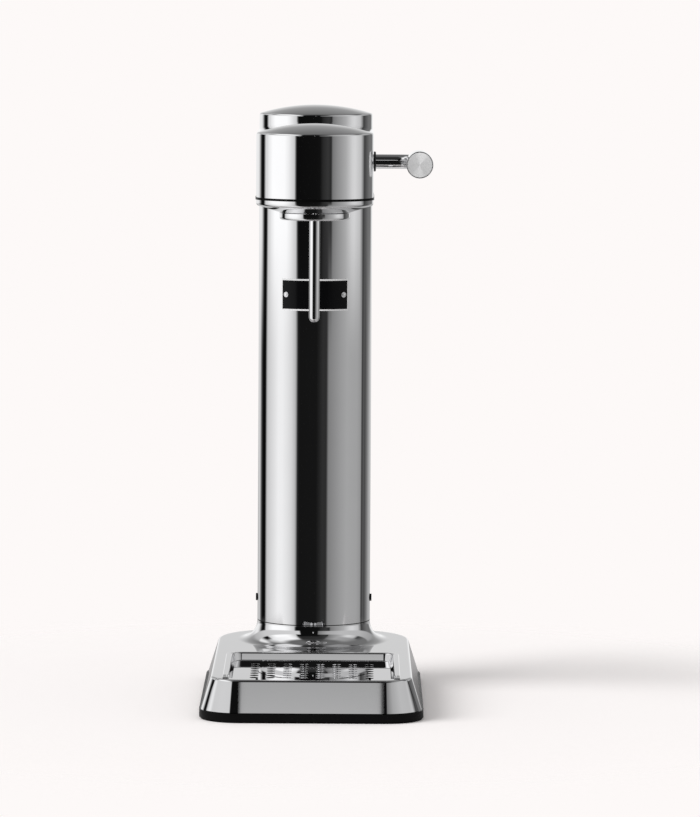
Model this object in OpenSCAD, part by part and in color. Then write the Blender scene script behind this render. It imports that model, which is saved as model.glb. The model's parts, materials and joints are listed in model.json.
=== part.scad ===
// Sparkling water maker: a lever-operated machine that carbonates a bottle of water.
// Millimetres, +Z up, front towards -Y. The origin is the middle of the base's footprint on the floor.

/* [Base] */
// Width of the base at the floor
base_w = 153; // [146:1:162]
// Depth of the base at the floor
base_d = 258; // [250:1:270]
// Height of the rubber foot
foot_h = 6.5; // [5:0.5:8]
// How far the steel stands in from the rubber's edge
foot_lip = 1; // [0.5:0.1:1.5]
// Height of the deck at its front edge
deck_front_h = 28.5; // [27:0.1:30]
// Height of the deck at its back edge
deck_back_h = 32.1; // [31:0.1:33]
// Lean of the base's walls from upright, in degrees
wall_lean = 17.5; // [15:0.5:19]
// Corner radius of the footprint at the front
front_corner_r = 27; // [24:1:32]
// Corner radius of the footprint at the back
back_corner_r = 53; // [46:1:58]
// Thickness of the steel sheet
sheet_t = 1.5; // [1.2:0.1:1.8]
// Thickness of the chassis plate inside the base
chassis_t = 3; // [2.5:0.5:4]
// Radius of the hollow sweep from the deck up to the column
flare_r = 14; // [12:0.5:15]

/* [Column] */
// Outer radius of the column
column_r = 40.2; // [39.5:0.1:41]
// Distance of the column's axis from the back edge of the footprint
column_setback = 54; // [53:1:56]
// Wall of the column tube
column_wall = 1.2; // [1:0.1:1.5]
// Height of the seam between base and column
seam_z = 45.9; // [45:0.1:47]
// Height of the column's upper rim
column_rim_z = 407; // [404:1:412]
// Height of the column's domed top
column_top_z = 413.2; // [413:0.1:420]
// Height of the two side screws
side_screw_z = 61.3; // [58:0.1:64]

/* [Head] */
// Distance from the column's axis to the nozzle's axis
nozzle_reach = 91; // [89:1:94]
// Outer radius of the head
head_r = 40.7; // [40.4:0.1:42]
// Height of the steel shell's lower edge
head_low_z = 351.4; // [351:0.1:353]
// Height of the rim under the dome
head_rim_z = 395.9; // [394:0.1:399]
// Height of the head's domed top
head_top_z = 402.6; // [402:0.1:405]
// Radius of the rounded edge between a wall and its dome
dome_edge_r = 1.2; // [0.8:0.1:1.6]
// Height of the black gasket band
gasket_h = 1.6; // [1.2:0.1:2]
// How far the gasket stands proud
gasket_proud = 0.5; // [0.3:0.1:0.8]
// Height of the steel lower cap below the gasket
cap_h = 4.4; // [4:0.1:5]

/* [Nozzle] */
// Outer radius of the steel collar round the bottle neck
collar_r = 24.3; // [23.5:0.1:25]
// Height of the collar's lower face
collar_low_z = 335.8; // [334:0.1:336.5]
// Height of the collar's side
collar_h = 5.1; // [4.5:0.1:5.3]
// Bore that takes the bottle neck
neck_bore_r = 17.5; // [16:0.5:18.5]
// Outer radius of the carbonation tube
tube_r = 3.7; // [3.5:0.1:4]
// Height of the carbonation tube's lower end
tube_end_z = 264.4; // [260:1:275]

/* [Label] */
// Height of the middle of the plate
label_z = 280.2; // [275:0.1:285]
// Height of the plate
label_h = 22.3; // [20:0.5:25]
// Angle that the plate covers round the column, in degrees
label_sweep = 70; // [60:1:80]

/* [Lever] */
// Height of the lever's axis
lever_z = 373; // [371:1:375]
// Radius of the lever's rod
rod_r = 5.1; // [4.8:0.1:5.4]
// Distance of the rod's front leg from the middle
lever_offset = 73; // [70:1:78]
// Radius of the bend's middle line
bend_r = 15; // [12:1:18]
// Reach from the lever's axis to the knob's front face
lever_reach = 64; // [60:1:70]
// Radius of the knob
knob_r = 9.4; // [8.5:0.1:10.5]
// Length of the knob
knob_l = 34; // [30:1:38]
// How far the lever turns down, in degrees
lever_travel = 45; // [30:1:45]

/* [Drip tray] */
// Distance from the footprint's front to the end of the steel front's sides
fascia_d = 16; // [14:1:22]
// Width of the tray over its raised rim
tray_w = 121; // [116:1:124]
// Deck left between the back of the pan's rim and the sweep to the column
pan_margin = 18; // [14:1:24]
// Width of the raised rim
rim_w = 5; // [4.5:0.1:6]
// Height of the raised rim over the deck
rim_h = 1.8; // [1.6:0.1:2.2]
// Plan radius of the rim's back corners
rim_corner_r = 11; // [9.5:0.5:14]
// Depth of the pan below the deck
pan_depth = 4.4; // [3.6:0.1:5]
// Radius of a drain hole
drain_r = 3; // [2:0.05:3.5]
// Distance between neighbouring drain holes across the pan
drain_pitch = 11.3; // [10:0.1:12]
// Distance between neighbouring rows of drain holes
drain_row_pitch = 10; // [9:0.5:12]
// Drain holes across the pan
drain_columns = 8; // [4:1:8]

/* [Gas cylinder] */
// Outer radius of the gas cylinder
bottle_r = 30; // [29:0.5:30.5]
// Height of the cylinder's foot over the floor
bottle_low_z = 7; // [6:0.5:9]
// Height of the top of its shoulder
bottle_top_z = 318; // [314:1:320]

/* [Hidden] */
$fn = 96;

// One overrun serves every cut
cut = 20;
// Clearances: between pieces that only lie beside each other, where one rests on another
// and comes off, and where a shaft runs in its bore
gap = 0.3;
seat = 0.3;
running = 0.05;

// Axes of the column and of the nozzle
column_y = base_d / 2 - column_setback;
nozzle_y = column_y - nozzle_reach;

// The deck's slope from its front edge up to its back edge
lean = tan(wall_lean);
deck_front_y = -base_d / 2 + foot_lip + (deck_front_h - foot_h) * lean;
deck_back_y = base_d / 2 - foot_lip - (deck_back_h - foot_h) * lean;
deck_tilt = atan((deck_back_h - deck_front_h) / (deck_back_y - deck_front_y));

// Column hole in base, chassis and foot
spigot_wall = 6;
spigot_r = column_r - column_wall - running;
spigot_rise = 27;
port_r = spigot_r - spigot_wall + gap;
chassis_low_z = foot_h;
chassis_top_z = chassis_low_z + chassis_t;
seam_h = 0.6;

// Foot: chamfered lower edge and its screws
foot_chamfer = 1.2;
foot_screw_r = 1.6;
foot_screw_head_r = 3.4;
foot_screw_head_h = 2;
foot_screw_recess = 1.5;
foot_screw_inset = 20;
screw_slot_w = 0.9;
screw_slot_d = 0.5;

// Side screws
side_screw_r = 1.5;
side_screw_head_r = 2.6;
side_screw_head_h = 1.1;

// Label on the column's front
label_frame_t = 0.5;
label_plate_t = 0.4;
label_border = 1.1;
label_rivet_r = 1.5;
label_rivet_h = 0.5;
label_rivet_sweep_share = 0.42;
label_plate_margin = 2;

// Head pieces between the shell and the bottle
head_wall = 1.25;
cap_edge_r = 2;
cap_t = 2;
window_w = 44;
window_low = 2;
window_h = 40;
head_side_share = 0.35;
head_side_y = column_y - column_r * head_side_share;
socket_wall = 3;
socket_roof = 2.6;
socket_depth = 14.4;
socket_flange = 2.5;
socket_flange_t = 2;
collar_edge_r = 1.8;
lug_r = 1.6;
lug_h = 1.3;
lug_ring_r = collar_r - lug_r - running;
seal_h = 2;
seal_bore_share = 0.6;
socket_roof_z = collar_low_z + socket_depth;
plate_top_z = socket_roof_z + socket_roof;
socket_top_z = plate_top_z + socket_flange_t;

// Nozzle line
tube_bore_r = 1.6;
tip_h = 8;
tip_orifice_r = 0.6;
block_r = 12;
block_h = 14;
block_low_z = socket_top_z;
block_top_z = block_low_z + block_h;
block_roof = 4;
tube_top_z = block_top_z - block_roof;
pipe_r = 2;
pipe_bore_r = 1.2;
pipe_rise = 4;
pipe_z = block_low_z + pipe_rise;
nut_r = 4.2;
nut_l = 6;
relief_r = 5;
relief_h = 14;
relief_neck_r = 3;

// Head chassis plate: spans from the nozzle to the column inside the head
plate_t = 2;
plate_low_z = plate_top_z - plate_t;
plate_w = 60;
plate_screw_r = 1.4;
plate_screw_head_r = 2.8;
plate_screw_head_h = 1.6;
plate_boss_r = 3.5;
plate_screw_share = 0.4;

// Gas cylinder, its valve, and the block that screws on to it
bottle_base_r = 7;
bottle_foot_ring = 5;
bottle_dish = 4;
bottle_neck_r = 14;
bottle_shoulder = 26;
valve_r = 10;
valve_collar_r = 12.5;
valve_collar_h = 8;
valve_h = 22;
valve_pin_r = 1.2;
valve_pin_h = 2;
valve_top_z = bottle_top_z + valve_h;
block_wall = 7;
valve_block_r = valve_r + gap + block_wall;
valve_block_low_z = bottle_top_z + valve_collar_h + gap;
valve_block_top_z = plate_low_z;
spring_well_r = 6.5;
spring_well_d = 5;
outlet_w = 14;
outlet_d = 7;
outlet_top_z = pipe_z + pipe_rise;
valve_seal_h = 1.8;
valve_seal_share = 0.8;
valve_seal_bore_share = 0.4;

// Lever shaft, cam, plunger and spring
shaft_end_x = -22;
yoke_w = 34;
yoke_t = 2;
yoke_l = 24;
yoke_screw_x = 9.5;
yoke_screw_y = 8.5;
yoke_low_z = plate_top_z;
cam_r = 11;
cam_throw = 4.5;
cam_w = 12;
cam_screw_r = 1.5;
plunger_r = 2.5;
plunger_head_r = 7;
plunger_head_h = 2;
plunger_top_z = lever_z - cam_r - seat;
plunger_travel = cam_throw * sin(lever_travel);
plunger_foot_z = valve_top_z + plunger_travel + seat;
spring_r = 5;
spring_wire_r = 0.55;
spring_turns = 5;
spring_ring = 8;
spring_sides = 6;
clip_wall = 2.2;
clip_t = 1.2;
bush_wall = 2;
bush_r = rod_r + bush_wall;
bush_l = 9;
ring_r = 7.1;
ring_t = 2.1;
ring_x = column_r + gap;

// Knob
knob_edge_r = 0.8;
knob_cap_t = 1.2;
knob_cap_inset = 0.9;
knob_socket = 12;

// Tray
fascia_strip = 8;
fascia_gap = 0.4;
pan_t = 1;
pan_slope = 3;
rim_edge_r = 1.3;
drain_end = 20;
basin_wall = 1.6;
basin_side = 6;
basin_back = 12;
basin_gap = 0.5;
basin_lift = 1;
basin_h = deck_front_h - chassis_top_z - basin_lift - pan_depth - pan_t;
tray_front = fascia_strip;
tray_l = column_y - column_r - flare_r - pan_margin - deck_front_y - tray_front;
drain_rows = 1 + floor((tray_l - rim_w - 2 * drain_end) / drain_row_pitch);
tray_back = tray_front + tray_l;

// Places a piece on the sloping deck: y runs back from the deck's front edge, z up from it
module on_deck() {
    translate([0, deck_front_y, deck_front_h]) rotate([deck_tilt, 0, 0]) children();
}

// Everything below the deck's surface, lowered by drop
module below_deck(drop) {
    on_deck() translate([-base_w / 2, -cut, -drop - base_w])
        cube([base_w, base_d + 2 * cut, base_w]);
}

// Slab with leaning walls and round corners; its outline shrinks with height
module leaning_slab(low_z, high_z, inset) {
    low = foot_lip + inset + (low_z - foot_h) * lean;
    high = foot_lip + inset + (high_z - foot_h) * lean;
    front_x = base_w / 2 - front_corner_r;
    front_y = base_d / 2 - front_corner_r;
    back_x = base_w / 2 - back_corner_r;
    back_y = base_d / 2 - back_corner_r;
    translate([0, back_y, 0]) rotate([90, 0, 0]) linear_extrude(front_y + back_y)
        polygon([[low - base_w / 2, low_z], [base_w / 2 - low, low_z],
                 [base_w / 2 - high, high_z], [high - base_w / 2, high_z]]);
    translate([-front_x, 0, 0]) rotate([90, 0, 90]) linear_extrude(2 * front_x)
        polygon([[low - base_d / 2, low_z], [0, low_z], [0, high_z], [high - base_d / 2, high_z]]);
    translate([-back_x, 0, 0]) rotate([90, 0, 90]) linear_extrude(2 * back_x)
        polygon([[0, low_z], [base_d / 2 - low, low_z], [base_d / 2 - high, high_z], [0, high_z]]);
    for (side = [-1, 1]) {
        translate([side * front_x, -front_y, low_z])
            cylinder(h = high_z - low_z, r1 = front_corner_r - low, r2 = front_corner_r - high);
        translate([side * back_x, back_y, low_z])
            cylinder(h = high_z - low_z, r1 = back_corner_r - low, r2 = back_corner_r - high);
    }
}

// Upright outline of the footprint, drawn in by inset
module footprint(inset) {
    for (side = [-1, 1]) {
        translate([side * (base_w / 2 - front_corner_r), front_corner_r - base_d / 2])
            circle(front_corner_r - inset);
        translate([side * (base_w / 2 - back_corner_r), base_d / 2 - back_corner_r])
            circle(back_corner_r - inset);
    }
    translate([inset - base_w / 2, front_corner_r - base_d / 2])
        square([base_w - 2 * inset, base_d - front_corner_r - back_corner_r]);
    translate([front_corner_r - base_w / 2, inset - base_d / 2])
        square([base_w - 2 * front_corner_r, base_d / 2]);
    translate([back_corner_r - base_w / 2, -inset])
        square([base_w - 2 * back_corner_r, base_d / 2]);
}

// Half section of a domed can from its axis out: wall, rounded edge and dome
module domed_section(radius, low_z, rim_z, top_z, edge_r) {
    dome_r = (radius * radius + (top_z - rim_z) * (top_z - rim_z)) / (2 * (top_z - rim_z));
    centre_z = top_z - dome_r;
    edge_x = radius - edge_r;
    edge_z = centre_z + sqrt((dome_r - edge_r) * (dome_r - edge_r) - edge_x * edge_x);
    reach = dome_r / (dome_r - edge_r);
    translate([0, low_z]) square([radius, edge_z - low_z]);
    translate([edge_x, edge_z]) circle(edge_r);
    intersection() {
        translate([0, centre_z]) circle(dome_r, $fn = 4 * $fn);
        polygon([[0, low_z], [edge_x, low_z], [edge_x, edge_z],
                 [edge_x * reach, centre_z + (edge_z - centre_z) * reach],
                 [edge_x * reach, top_z], [0, top_z]]);
    }
}

// Slotted screw that stands head up on its shank, with its head's underside at zero
module screw(shank_r, shank_l, head_r, head_h) {
    translate([0, 0, -shank_l]) cylinder(h = shank_l, r = shank_r);
    difference() {
        cylinder(h = head_h, r = head_r);
        translate([-head_r, -screw_slot_w / 2, head_h - screw_slot_d])
            cube([2 * head_r, screw_slot_w, cut]);
    }
}

// Places of the screws through the foot
module foot_screw_places() {
    for (x = [-1, 1], y = [-1, 0, 1])
        translate([x * (base_w / 2 - foot_screw_inset), y * (base_d / 2 - 2 * foot_screw_inset), 0])
            children();
}

module rubber_foot() color([0.06, 0.06, 0.065]) difference() {
    union() {
        linear_extrude(foot_chamfer) footprint(foot_chamfer);
        translate([0, 0, foot_chamfer]) linear_extrude(foot_h - foot_chamfer) footprint(0);
    }
    translate([0, column_y, -cut]) cylinder(h = 2 * cut, r = port_r);
    foot_screw_places() {
        translate([0, 0, -cut]) cylinder(h = 2 * cut, r = foot_screw_r + running);
        translate([0, 0, -cut])
            cylinder(h = cut + foot_screw_recess + foot_screw_head_h, r = foot_screw_head_r + gap);
    }
}

module foot_screws() color([0.3, 0.3, 0.31]) foot_screw_places()
    translate([0, 0, foot_screw_recess + foot_screw_head_h]) mirror([0, 0, 1])
        screw(foot_screw_r, chassis_top_z - foot_screw_recess - foot_screw_head_h,
              foot_screw_head_r, foot_screw_head_h);

module base_chassis() color([0.2, 0.2, 0.21]) difference() {
    leaning_slab(chassis_low_z, chassis_top_z, sheet_t / cos(wall_lean) + gap);
    translate([0, column_y, 0]) cylinder(h = 2 * cut, r = port_r);
    foot_screw_places() translate([0, 0, -cut]) cylinder(h = 2 * cut, r = foot_screw_r + running);
}

// Sweep from the deck up to the column, square to the deck
module flare() {
    foot_r = column_r + flare_r;
    on_deck() translate([0, column_y - deck_front_y, 0]) rotate_extrude() difference() {
        translate([0, -sheet_t]) square([foot_r, seam_z - deck_front_h + sheet_t]);
        translate([foot_r, flare_r]) circle(flare_r);
        translate([column_r, flare_r]) square([2 * flare_r, base_w]);
    }
}

// Plan of the pan's rim, drawn in by inset, with round back corners
module pan_plan(inset) {
    translate([inset - tray_w / 2, 0]) square([tray_w - 2 * inset, tray_back - rim_corner_r]);
    translate([rim_corner_r - tray_w / 2, 0]) square([tray_w - 2 * rim_corner_r, tray_back - inset]);
    for (side = [-1, 1])
        translate([side * (tray_w / 2 - rim_corner_r), tray_back - rim_corner_r])
            circle(rim_corner_r - inset);
}

// Steel housing: leaning walls, sloping deck and flare in one sheet, open at the front
module base_shell() color([0.8, 0.8, 0.81]) difference() {
    intersection() {
        leaning_slab(foot_h, seam_z - seam_h, 0);
        union() {
            below_deck(0);
            flare();
        }
    }
    intersection() {
        leaning_slab(foot_h - foot_lip, deck_back_h, sheet_t / cos(wall_lean));
        below_deck(sheet_t);
    }
    // The front is open for the tray's own front, and the deck is open under the pan
    translate([-base_w, fascia_d - base_d * 3 / 2, -cut]) cube([2 * base_w, base_d, base_w]);
    on_deck() translate([0, 0, -cut]) linear_extrude(2 * cut) pan_plan(rim_w / 2);
    translate([0, column_y, 0]) cylinder(h = base_w, r = spigot_r + running);
}

module column_spigot() color([0.6, 0.6, 0.62]) difference() {
    translate([0, column_y, chassis_top_z])
        cylinder(h = seam_z + spigot_rise - chassis_top_z, r = spigot_r);
    translate([0, column_y, 0]) cylinder(h = base_d, r = port_r);
    for (side = [-1, 1])
        translate([0, column_y, side_screw_z]) rotate([0, side * 90, 0])
            cylinder(h = base_w, r = side_screw_r + running);
}

module column_gasket() color([0.05, 0.05, 0.05]) difference() {
    translate([0, column_y, seam_z - seam_h]) cylinder(h = seam_h, r = column_r);
    translate([0, column_y, 0]) cylinder(h = base_d, r = spigot_r + running);
}

module column_shell() color([0.8, 0.8, 0.81]) difference() {
    translate([0, column_y, 0]) rotate_extrude() difference() {
        domed_section(column_r, seam_z, column_rim_z, column_top_z, dome_edge_r);
        domed_section(column_r - column_wall, 0, column_rim_z - column_wall,
                      column_top_z - column_wall, dome_edge_r);
    }
    // Window to the head, closed by the head's shell
    translate([-window_w / 2, column_y - column_r - cut, head_low_z - window_low])
        cube([window_w, column_r + cut, window_h]);
    // Hole for the lever's bush
    translate([0, column_y, lever_z]) rotate([0, 90, 0]) cylinder(h = base_w, r = bush_r + running);
    for (side = [-1, 1])
        translate([0, column_y, side_screw_z]) rotate([0, side * 90, 0])
            cylinder(h = base_w, r = side_screw_r + running);
}

module side_screws() color([0.08, 0.08, 0.08]) for (side = [-1, 1])
    translate([side * (column_r + running), column_y, side_screw_z]) rotate([0, side * 90, 0])
        screw(side_screw_r, column_wall + spigot_wall - gap, side_screw_head_r, side_screw_head_h);

// Band on the column's front, centred on the label's height
module label_band(inner_r, thick, height, sweep) {
    translate([0, column_y, label_z - height / 2]) rotate([0, 0, -90 - sweep / 2])
        rotate_extrude(angle = sweep) translate([inner_r, 0]) square([thick, height]);
}

module label_frame() color([0.75, 0.75, 0.76]) difference() {
    label_band(column_r + running, label_frame_t, label_h, label_sweep);
    label_band(column_r + running + label_frame_t - label_plate_t / 2, label_plate_t,
               label_h - 2 * label_border, label_sweep - label_plate_margin);
    label_rivet_places() cylinder(h = cut, r = label_rivet_r / 2 + running, center = true);
}

module label_plate() color([0.03, 0.03, 0.035]) difference() {
    label_band(column_r + running + label_frame_t - label_plate_t / 2, label_plate_t / 2 + running,
               label_h - 2 * label_border, label_sweep - label_plate_margin);
    label_rivet_places() cylinder(h = cut, r = label_rivet_r / 2 + running, center = true);
}

module label_rivet_places() {
    for (side = [-1, 1])
        translate([0, column_y, label_z]) rotate([0, 0, side * label_sweep * label_rivet_sweep_share])
            translate([0, -column_r - label_frame_t, 0]) rotate([90, 0, 0]) children();
}

module label_rivets() color([0.75, 0.75, 0.76]) label_rivet_places() {
    translate([0, 0, 3 * running]) cylinder(h = label_rivet_h, r = label_rivet_r);
    translate([0, 0, 2 * running - label_frame_t])
        cylinder(h = label_frame_t + running, r = label_rivet_r / 2);
}

// Sweeps a half section round the head: a half turn at the nozzle and straight back sides
module head_sweep() {
    translate([0, nozzle_y, 0]) rotate([0, 0, 180]) rotate_extrude(angle = 180) children();
    for (side = [0, 1])
        translate([0, head_side_y, 0]) mirror([side, 0, 0]) rotate([90, 0, 0])
            linear_extrude(head_side_y - nozzle_y) children();
}

// Solid column, to trim the head's pieces against it
module column_clear(clear) {
    translate([0, column_y, 0]) cylinder(h = 2 * base_d, r = column_r + clear);
}

module head_shell() color([0.8, 0.8, 0.81]) difference() {
    head_sweep() difference() {
        domed_section(head_r, head_low_z, head_rim_z, head_top_z, dome_edge_r);
        domed_section(head_r - head_wall, 0, head_rim_z - head_wall, head_top_z - head_wall,
                      dome_edge_r);
    }
    column_clear(running);
}

module head_gasket() color([0.04, 0.04, 0.04]) difference() {
    head_sweep() translate([head_r - head_wall, head_low_z - gasket_h])
        square([head_wall + gasket_proud, gasket_h]);
    column_clear(running);
}

// Steel lower cap: rounded lower edge, level underside and a shallow bowl round the nozzle
module head_cap() color([0.8, 0.8, 0.81]) {
    cap_top_z = head_low_z - gasket_h;
    cap_low_z = cap_top_z - cap_h;
    difference() {
        union() {
            head_sweep() {
                translate([0, cap_low_z]) square([head_r - cap_edge_r, cap_t]);
                translate([head_r - head_wall, cap_low_z + cap_edge_r])
                    square([head_wall, cap_h - cap_edge_r]);
                intersection() {
                    translate([head_r - cap_edge_r, cap_low_z + cap_edge_r]) circle(cap_edge_r);
                    translate([head_r - cap_edge_r, cap_low_z]) square(cap_edge_r);
                }
            }
            translate([0, nozzle_y, 0]) rotate_extrude()
                polygon([[0, collar_low_z + collar_h], [collar_r, collar_low_z + collar_h],
                         [head_r - cap_edge_r, cap_low_z], [head_r - cap_edge_r, cap_low_z + cap_t / 2],
                         [0, cap_low_z + cap_t / 2]]);
            // Bosses for the chassis plate
            plate_screw_places() translate([0, 0, cap_low_z + cap_t / 2])
                cylinder(h = plate_low_z - cap_low_z - cap_t / 2, r = plate_boss_r);
        }
        plate_screw_places() translate([0, 0, plate_low_z - 2 * plate_screw_r])
            cylinder(h = cut, r = plate_screw_r + running);
        translate([0, nozzle_y, 0]) cylinder(h = 2 * base_d, r = neck_bore_r + socket_wall + running);
        column_clear(running);
    }
}

module bottle_collar() color([0.8, 0.8, 0.81]) translate([0, nozzle_y, collar_low_z])
    rotate_extrude() {
        inner_r = neck_bore_r + socket_wall + running;
        translate([inner_r, 0]) square([collar_r - collar_edge_r - inner_r, collar_h - lug_h]);
        translate([inner_r, collar_edge_r])
            square([collar_r - inner_r, collar_h - collar_edge_r - lug_h]);
        translate([collar_r - collar_edge_r, collar_edge_r]) circle(collar_edge_r);
    }

// Four small lugs hold the collar just under the cap
module collar_lugs() color([0.7, 0.7, 0.71]) for (turn = [0 : 90 : 270])
    translate([0, nozzle_y, collar_low_z + collar_h - lug_h]) rotate([0, 0, turn])
        translate([lug_ring_r, 0, 0]) cylinder(h = lug_h, r = lug_r);

// Black cup that the bottle's neck screws into
module bottle_socket() color([0.06, 0.06, 0.065]) translate([0, nozzle_y, 0]) difference() {
    union() {
        translate([0, 0, collar_low_z])
            cylinder(h = socket_top_z - collar_low_z, r = neck_bore_r + socket_wall);
        translate([0, 0, plate_top_z])
            cylinder(h = socket_flange_t, r = neck_bore_r + socket_wall + socket_flange);
    }
    translate([0, 0, collar_low_z - cut]) cylinder(h = cut + socket_depth, r = neck_bore_r);
    cylinder(h = 2 * base_d, r = tube_r + running);
}

module bottle_seal() color([0.12, 0.12, 0.12]) translate([0, nozzle_y, socket_roof_z - seal_h])
    difference() {
        cylinder(h = seal_h, r = neck_bore_r);
        translate([0, 0, -cut]) cylinder(h = 2 * cut, r = neck_bore_r * seal_bore_share);
    }

module carbonation_tube() color([0.8, 0.8, 0.81]) translate([0, nozzle_y, 0]) difference() {
    translate([0, 0, tube_end_z + tip_h]) cylinder(h = tube_top_z - tube_end_z - tip_h, r = tube_r);
    cylinder(h = 2 * base_d, r = tube_bore_r);
    translate([0, 0, pipe_z]) rotate([-90, 0, 0]) cylinder(h = cut, r = pipe_bore_r);
}

module nozzle_tip() color([0.8, 0.8, 0.81]) translate([0, nozzle_y, tube_end_z]) difference() {
    union() {
        translate([0, 0, tube_r]) cylinder(h = tip_h - tube_r, r = tube_r);
        translate([0, 0, tube_r]) sphere(tube_r);
    }
    translate([0, 0, tube_r]) cylinder(h = cut, r = tube_bore_r);
    translate([0, 0, -cut]) cylinder(h = 2 * cut, r = tip_orifice_r);
}

module nozzle_block() color([0.75, 0.62, 0.32]) difference() {
    translate([0, nozzle_y, block_low_z]) cylinder(h = block_h, r = block_r);
    translate([0, nozzle_y, 0]) cylinder(h = tube_top_z, r = tube_r + running);
    translate([0, nozzle_y + tube_r + running * 2 + tube_bore_r, pipe_z]) rotate([-90, 0, 0])
        cylinder(h = base_d, r = pipe_r + running);
    translate([0, nozzle_y, pipe_z]) rotate([-90, 0, 0]) cylinder(h = block_r, r = pipe_bore_r);
    translate([0, nozzle_y, block_low_z]) cylinder(h = block_h, r = tube_bore_r);
    translate([0, nozzle_y, tube_top_z + tube_bore_r])
        cylinder(h = block_h, r = relief_neck_r + running);
}

module relief_valve() color([0.78, 0.66, 0.36]) translate([0, nozzle_y, block_top_z]) {
    translate([0, 0, tube_top_z + tube_bore_r - block_top_z])
        cylinder(h = block_top_z - tube_top_z - tube_bore_r, r = relief_neck_r);
    cylinder(h = relief_h / 2, r = relief_r, $fn = 6);
    translate([0, 0, relief_h / 2]) cylinder(h = relief_h / 2, r = relief_neck_r);
}

// The pipe runs level from the valve block's outlet to the nozzle block
pipe_front_y = nozzle_y + block_r;
pipe_back_y = column_y - valve_block_r - outlet_d / 2;

module gas_pipe() color([0.72, 0.45, 0.3]) translate([0, pipe_front_y - pipe_r, pipe_z])
    rotate([-90, 0, 0]) difference() {
        cylinder(h = pipe_back_y - pipe_front_y + 2 * pipe_r, r = pipe_r);
        cylinder(h = base_d, r = pipe_bore_r);
    }

module pipe_nuts() color([0.75, 0.62, 0.32]) for (end_y = [pipe_front_y, pipe_back_y - nut_l])
    translate([0, end_y, pipe_z]) rotate([-90, 0, 0]) difference() {
        cylinder(h = nut_l, r = nut_r, $fn = 6);
        cylinder(h = cut, r = pipe_r + running);
    }

module plate_screw_places() {
    for (x = [-1, 1], y = [0, nozzle_reach * plate_screw_share])
        translate([x * (plate_w / 2 - plate_boss_r), nozzle_y + y, 0]) children();
}

// Plate that carries the nozzle's socket in the head and the valve block in the column,
// joined by a tongue through the column's window
module head_chassis() color([0.45, 0.46, 0.48]) difference() {
    union() {
        difference() {
            union() {
                translate([-plate_w / 2, nozzle_y, plate_low_z])
                    cube([plate_w, column_y - nozzle_y, plate_t]);
                translate([0, nozzle_y, plate_low_z]) cylinder(h = plate_t, r = plate_w / 2);
            }
            column_clear(gap);
        }
        translate([gap - window_w / 2, nozzle_y, plate_low_z])
            cube([window_w - 2 * gap, column_y - nozzle_y, plate_t]);
        translate([0, column_y, plate_low_z]) cylinder(h = plate_t, r = column_r - column_wall - gap);
    }
    translate([0, nozzle_y, 0]) cylinder(h = 2 * base_d, r = neck_bore_r + socket_wall + running);
    translate([0, column_y, 0]) cylinder(h = 2 * base_d, r = plunger_head_r + gap);
    translate([-outlet_w / 2 - gap, column_y - valve_block_r - outlet_d / 2 - gap, 0])
        cube([outlet_w + 2 * gap, outlet_d + 2 * gap, 2 * base_d]);
    plate_screw_places() translate([0, 0, plate_low_z - cut])
        cylinder(h = 2 * cut, r = plate_screw_r + running);
    yoke_screw_places() translate([0, 0, -cut]) cylinder(h = 2 * cut, r = plate_screw_r + running);
}

module chassis_screws() color([0.35, 0.35, 0.36])
    plate_screw_places() translate([0, 0, plate_top_z])
        screw(plate_screw_r, plate_t + plate_screw_r, plate_screw_head_r, plate_screw_head_h);

module gas_cylinder() color([0.72, 0.74, 0.76]) translate([0, column_y, bottle_low_z])
    rotate_extrude() {
        height = bottle_top_z - bottle_low_z;
        shoulder_z = height - bottle_shoulder;
        difference() {
            union() {
                translate([0, bottle_base_r]) square([bottle_r, shoulder_z - bottle_base_r]);
                square([bottle_r - bottle_base_r, shoulder_z]);
                translate([bottle_r - bottle_base_r, bottle_base_r]) circle(bottle_base_r);
                polygon([[0, shoulder_z], [bottle_r, shoulder_z], [bottle_neck_r, height - bottle_base_r],
                         [bottle_neck_r, height], [0, height]]);
            }
            polygon([[0, 0], [bottle_r - bottle_base_r - bottle_foot_ring, 0], [0, bottle_dish]]);
        }
    }

module cylinder_valve() color([0.78, 0.66, 0.36]) translate([0, column_y, bottle_top_z]) {
    cylinder(h = valve_collar_h, r = valve_collar_r, $fn = 6);
    cylinder(h = valve_h - valve_pin_h, r = valve_r);
    cylinder(h = valve_h, r = valve_pin_r);
}

module cylinder_seal() color([0.1, 0.1, 0.1])
    translate([0, column_y, valve_top_z - valve_pin_h]) difference() {
        cylinder(h = valve_seal_h, r = valve_r * valve_seal_share);
        translate([0, 0, -cut]) cylinder(h = 2 * cut, r = valve_r * valve_seal_bore_share);
    }

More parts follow.
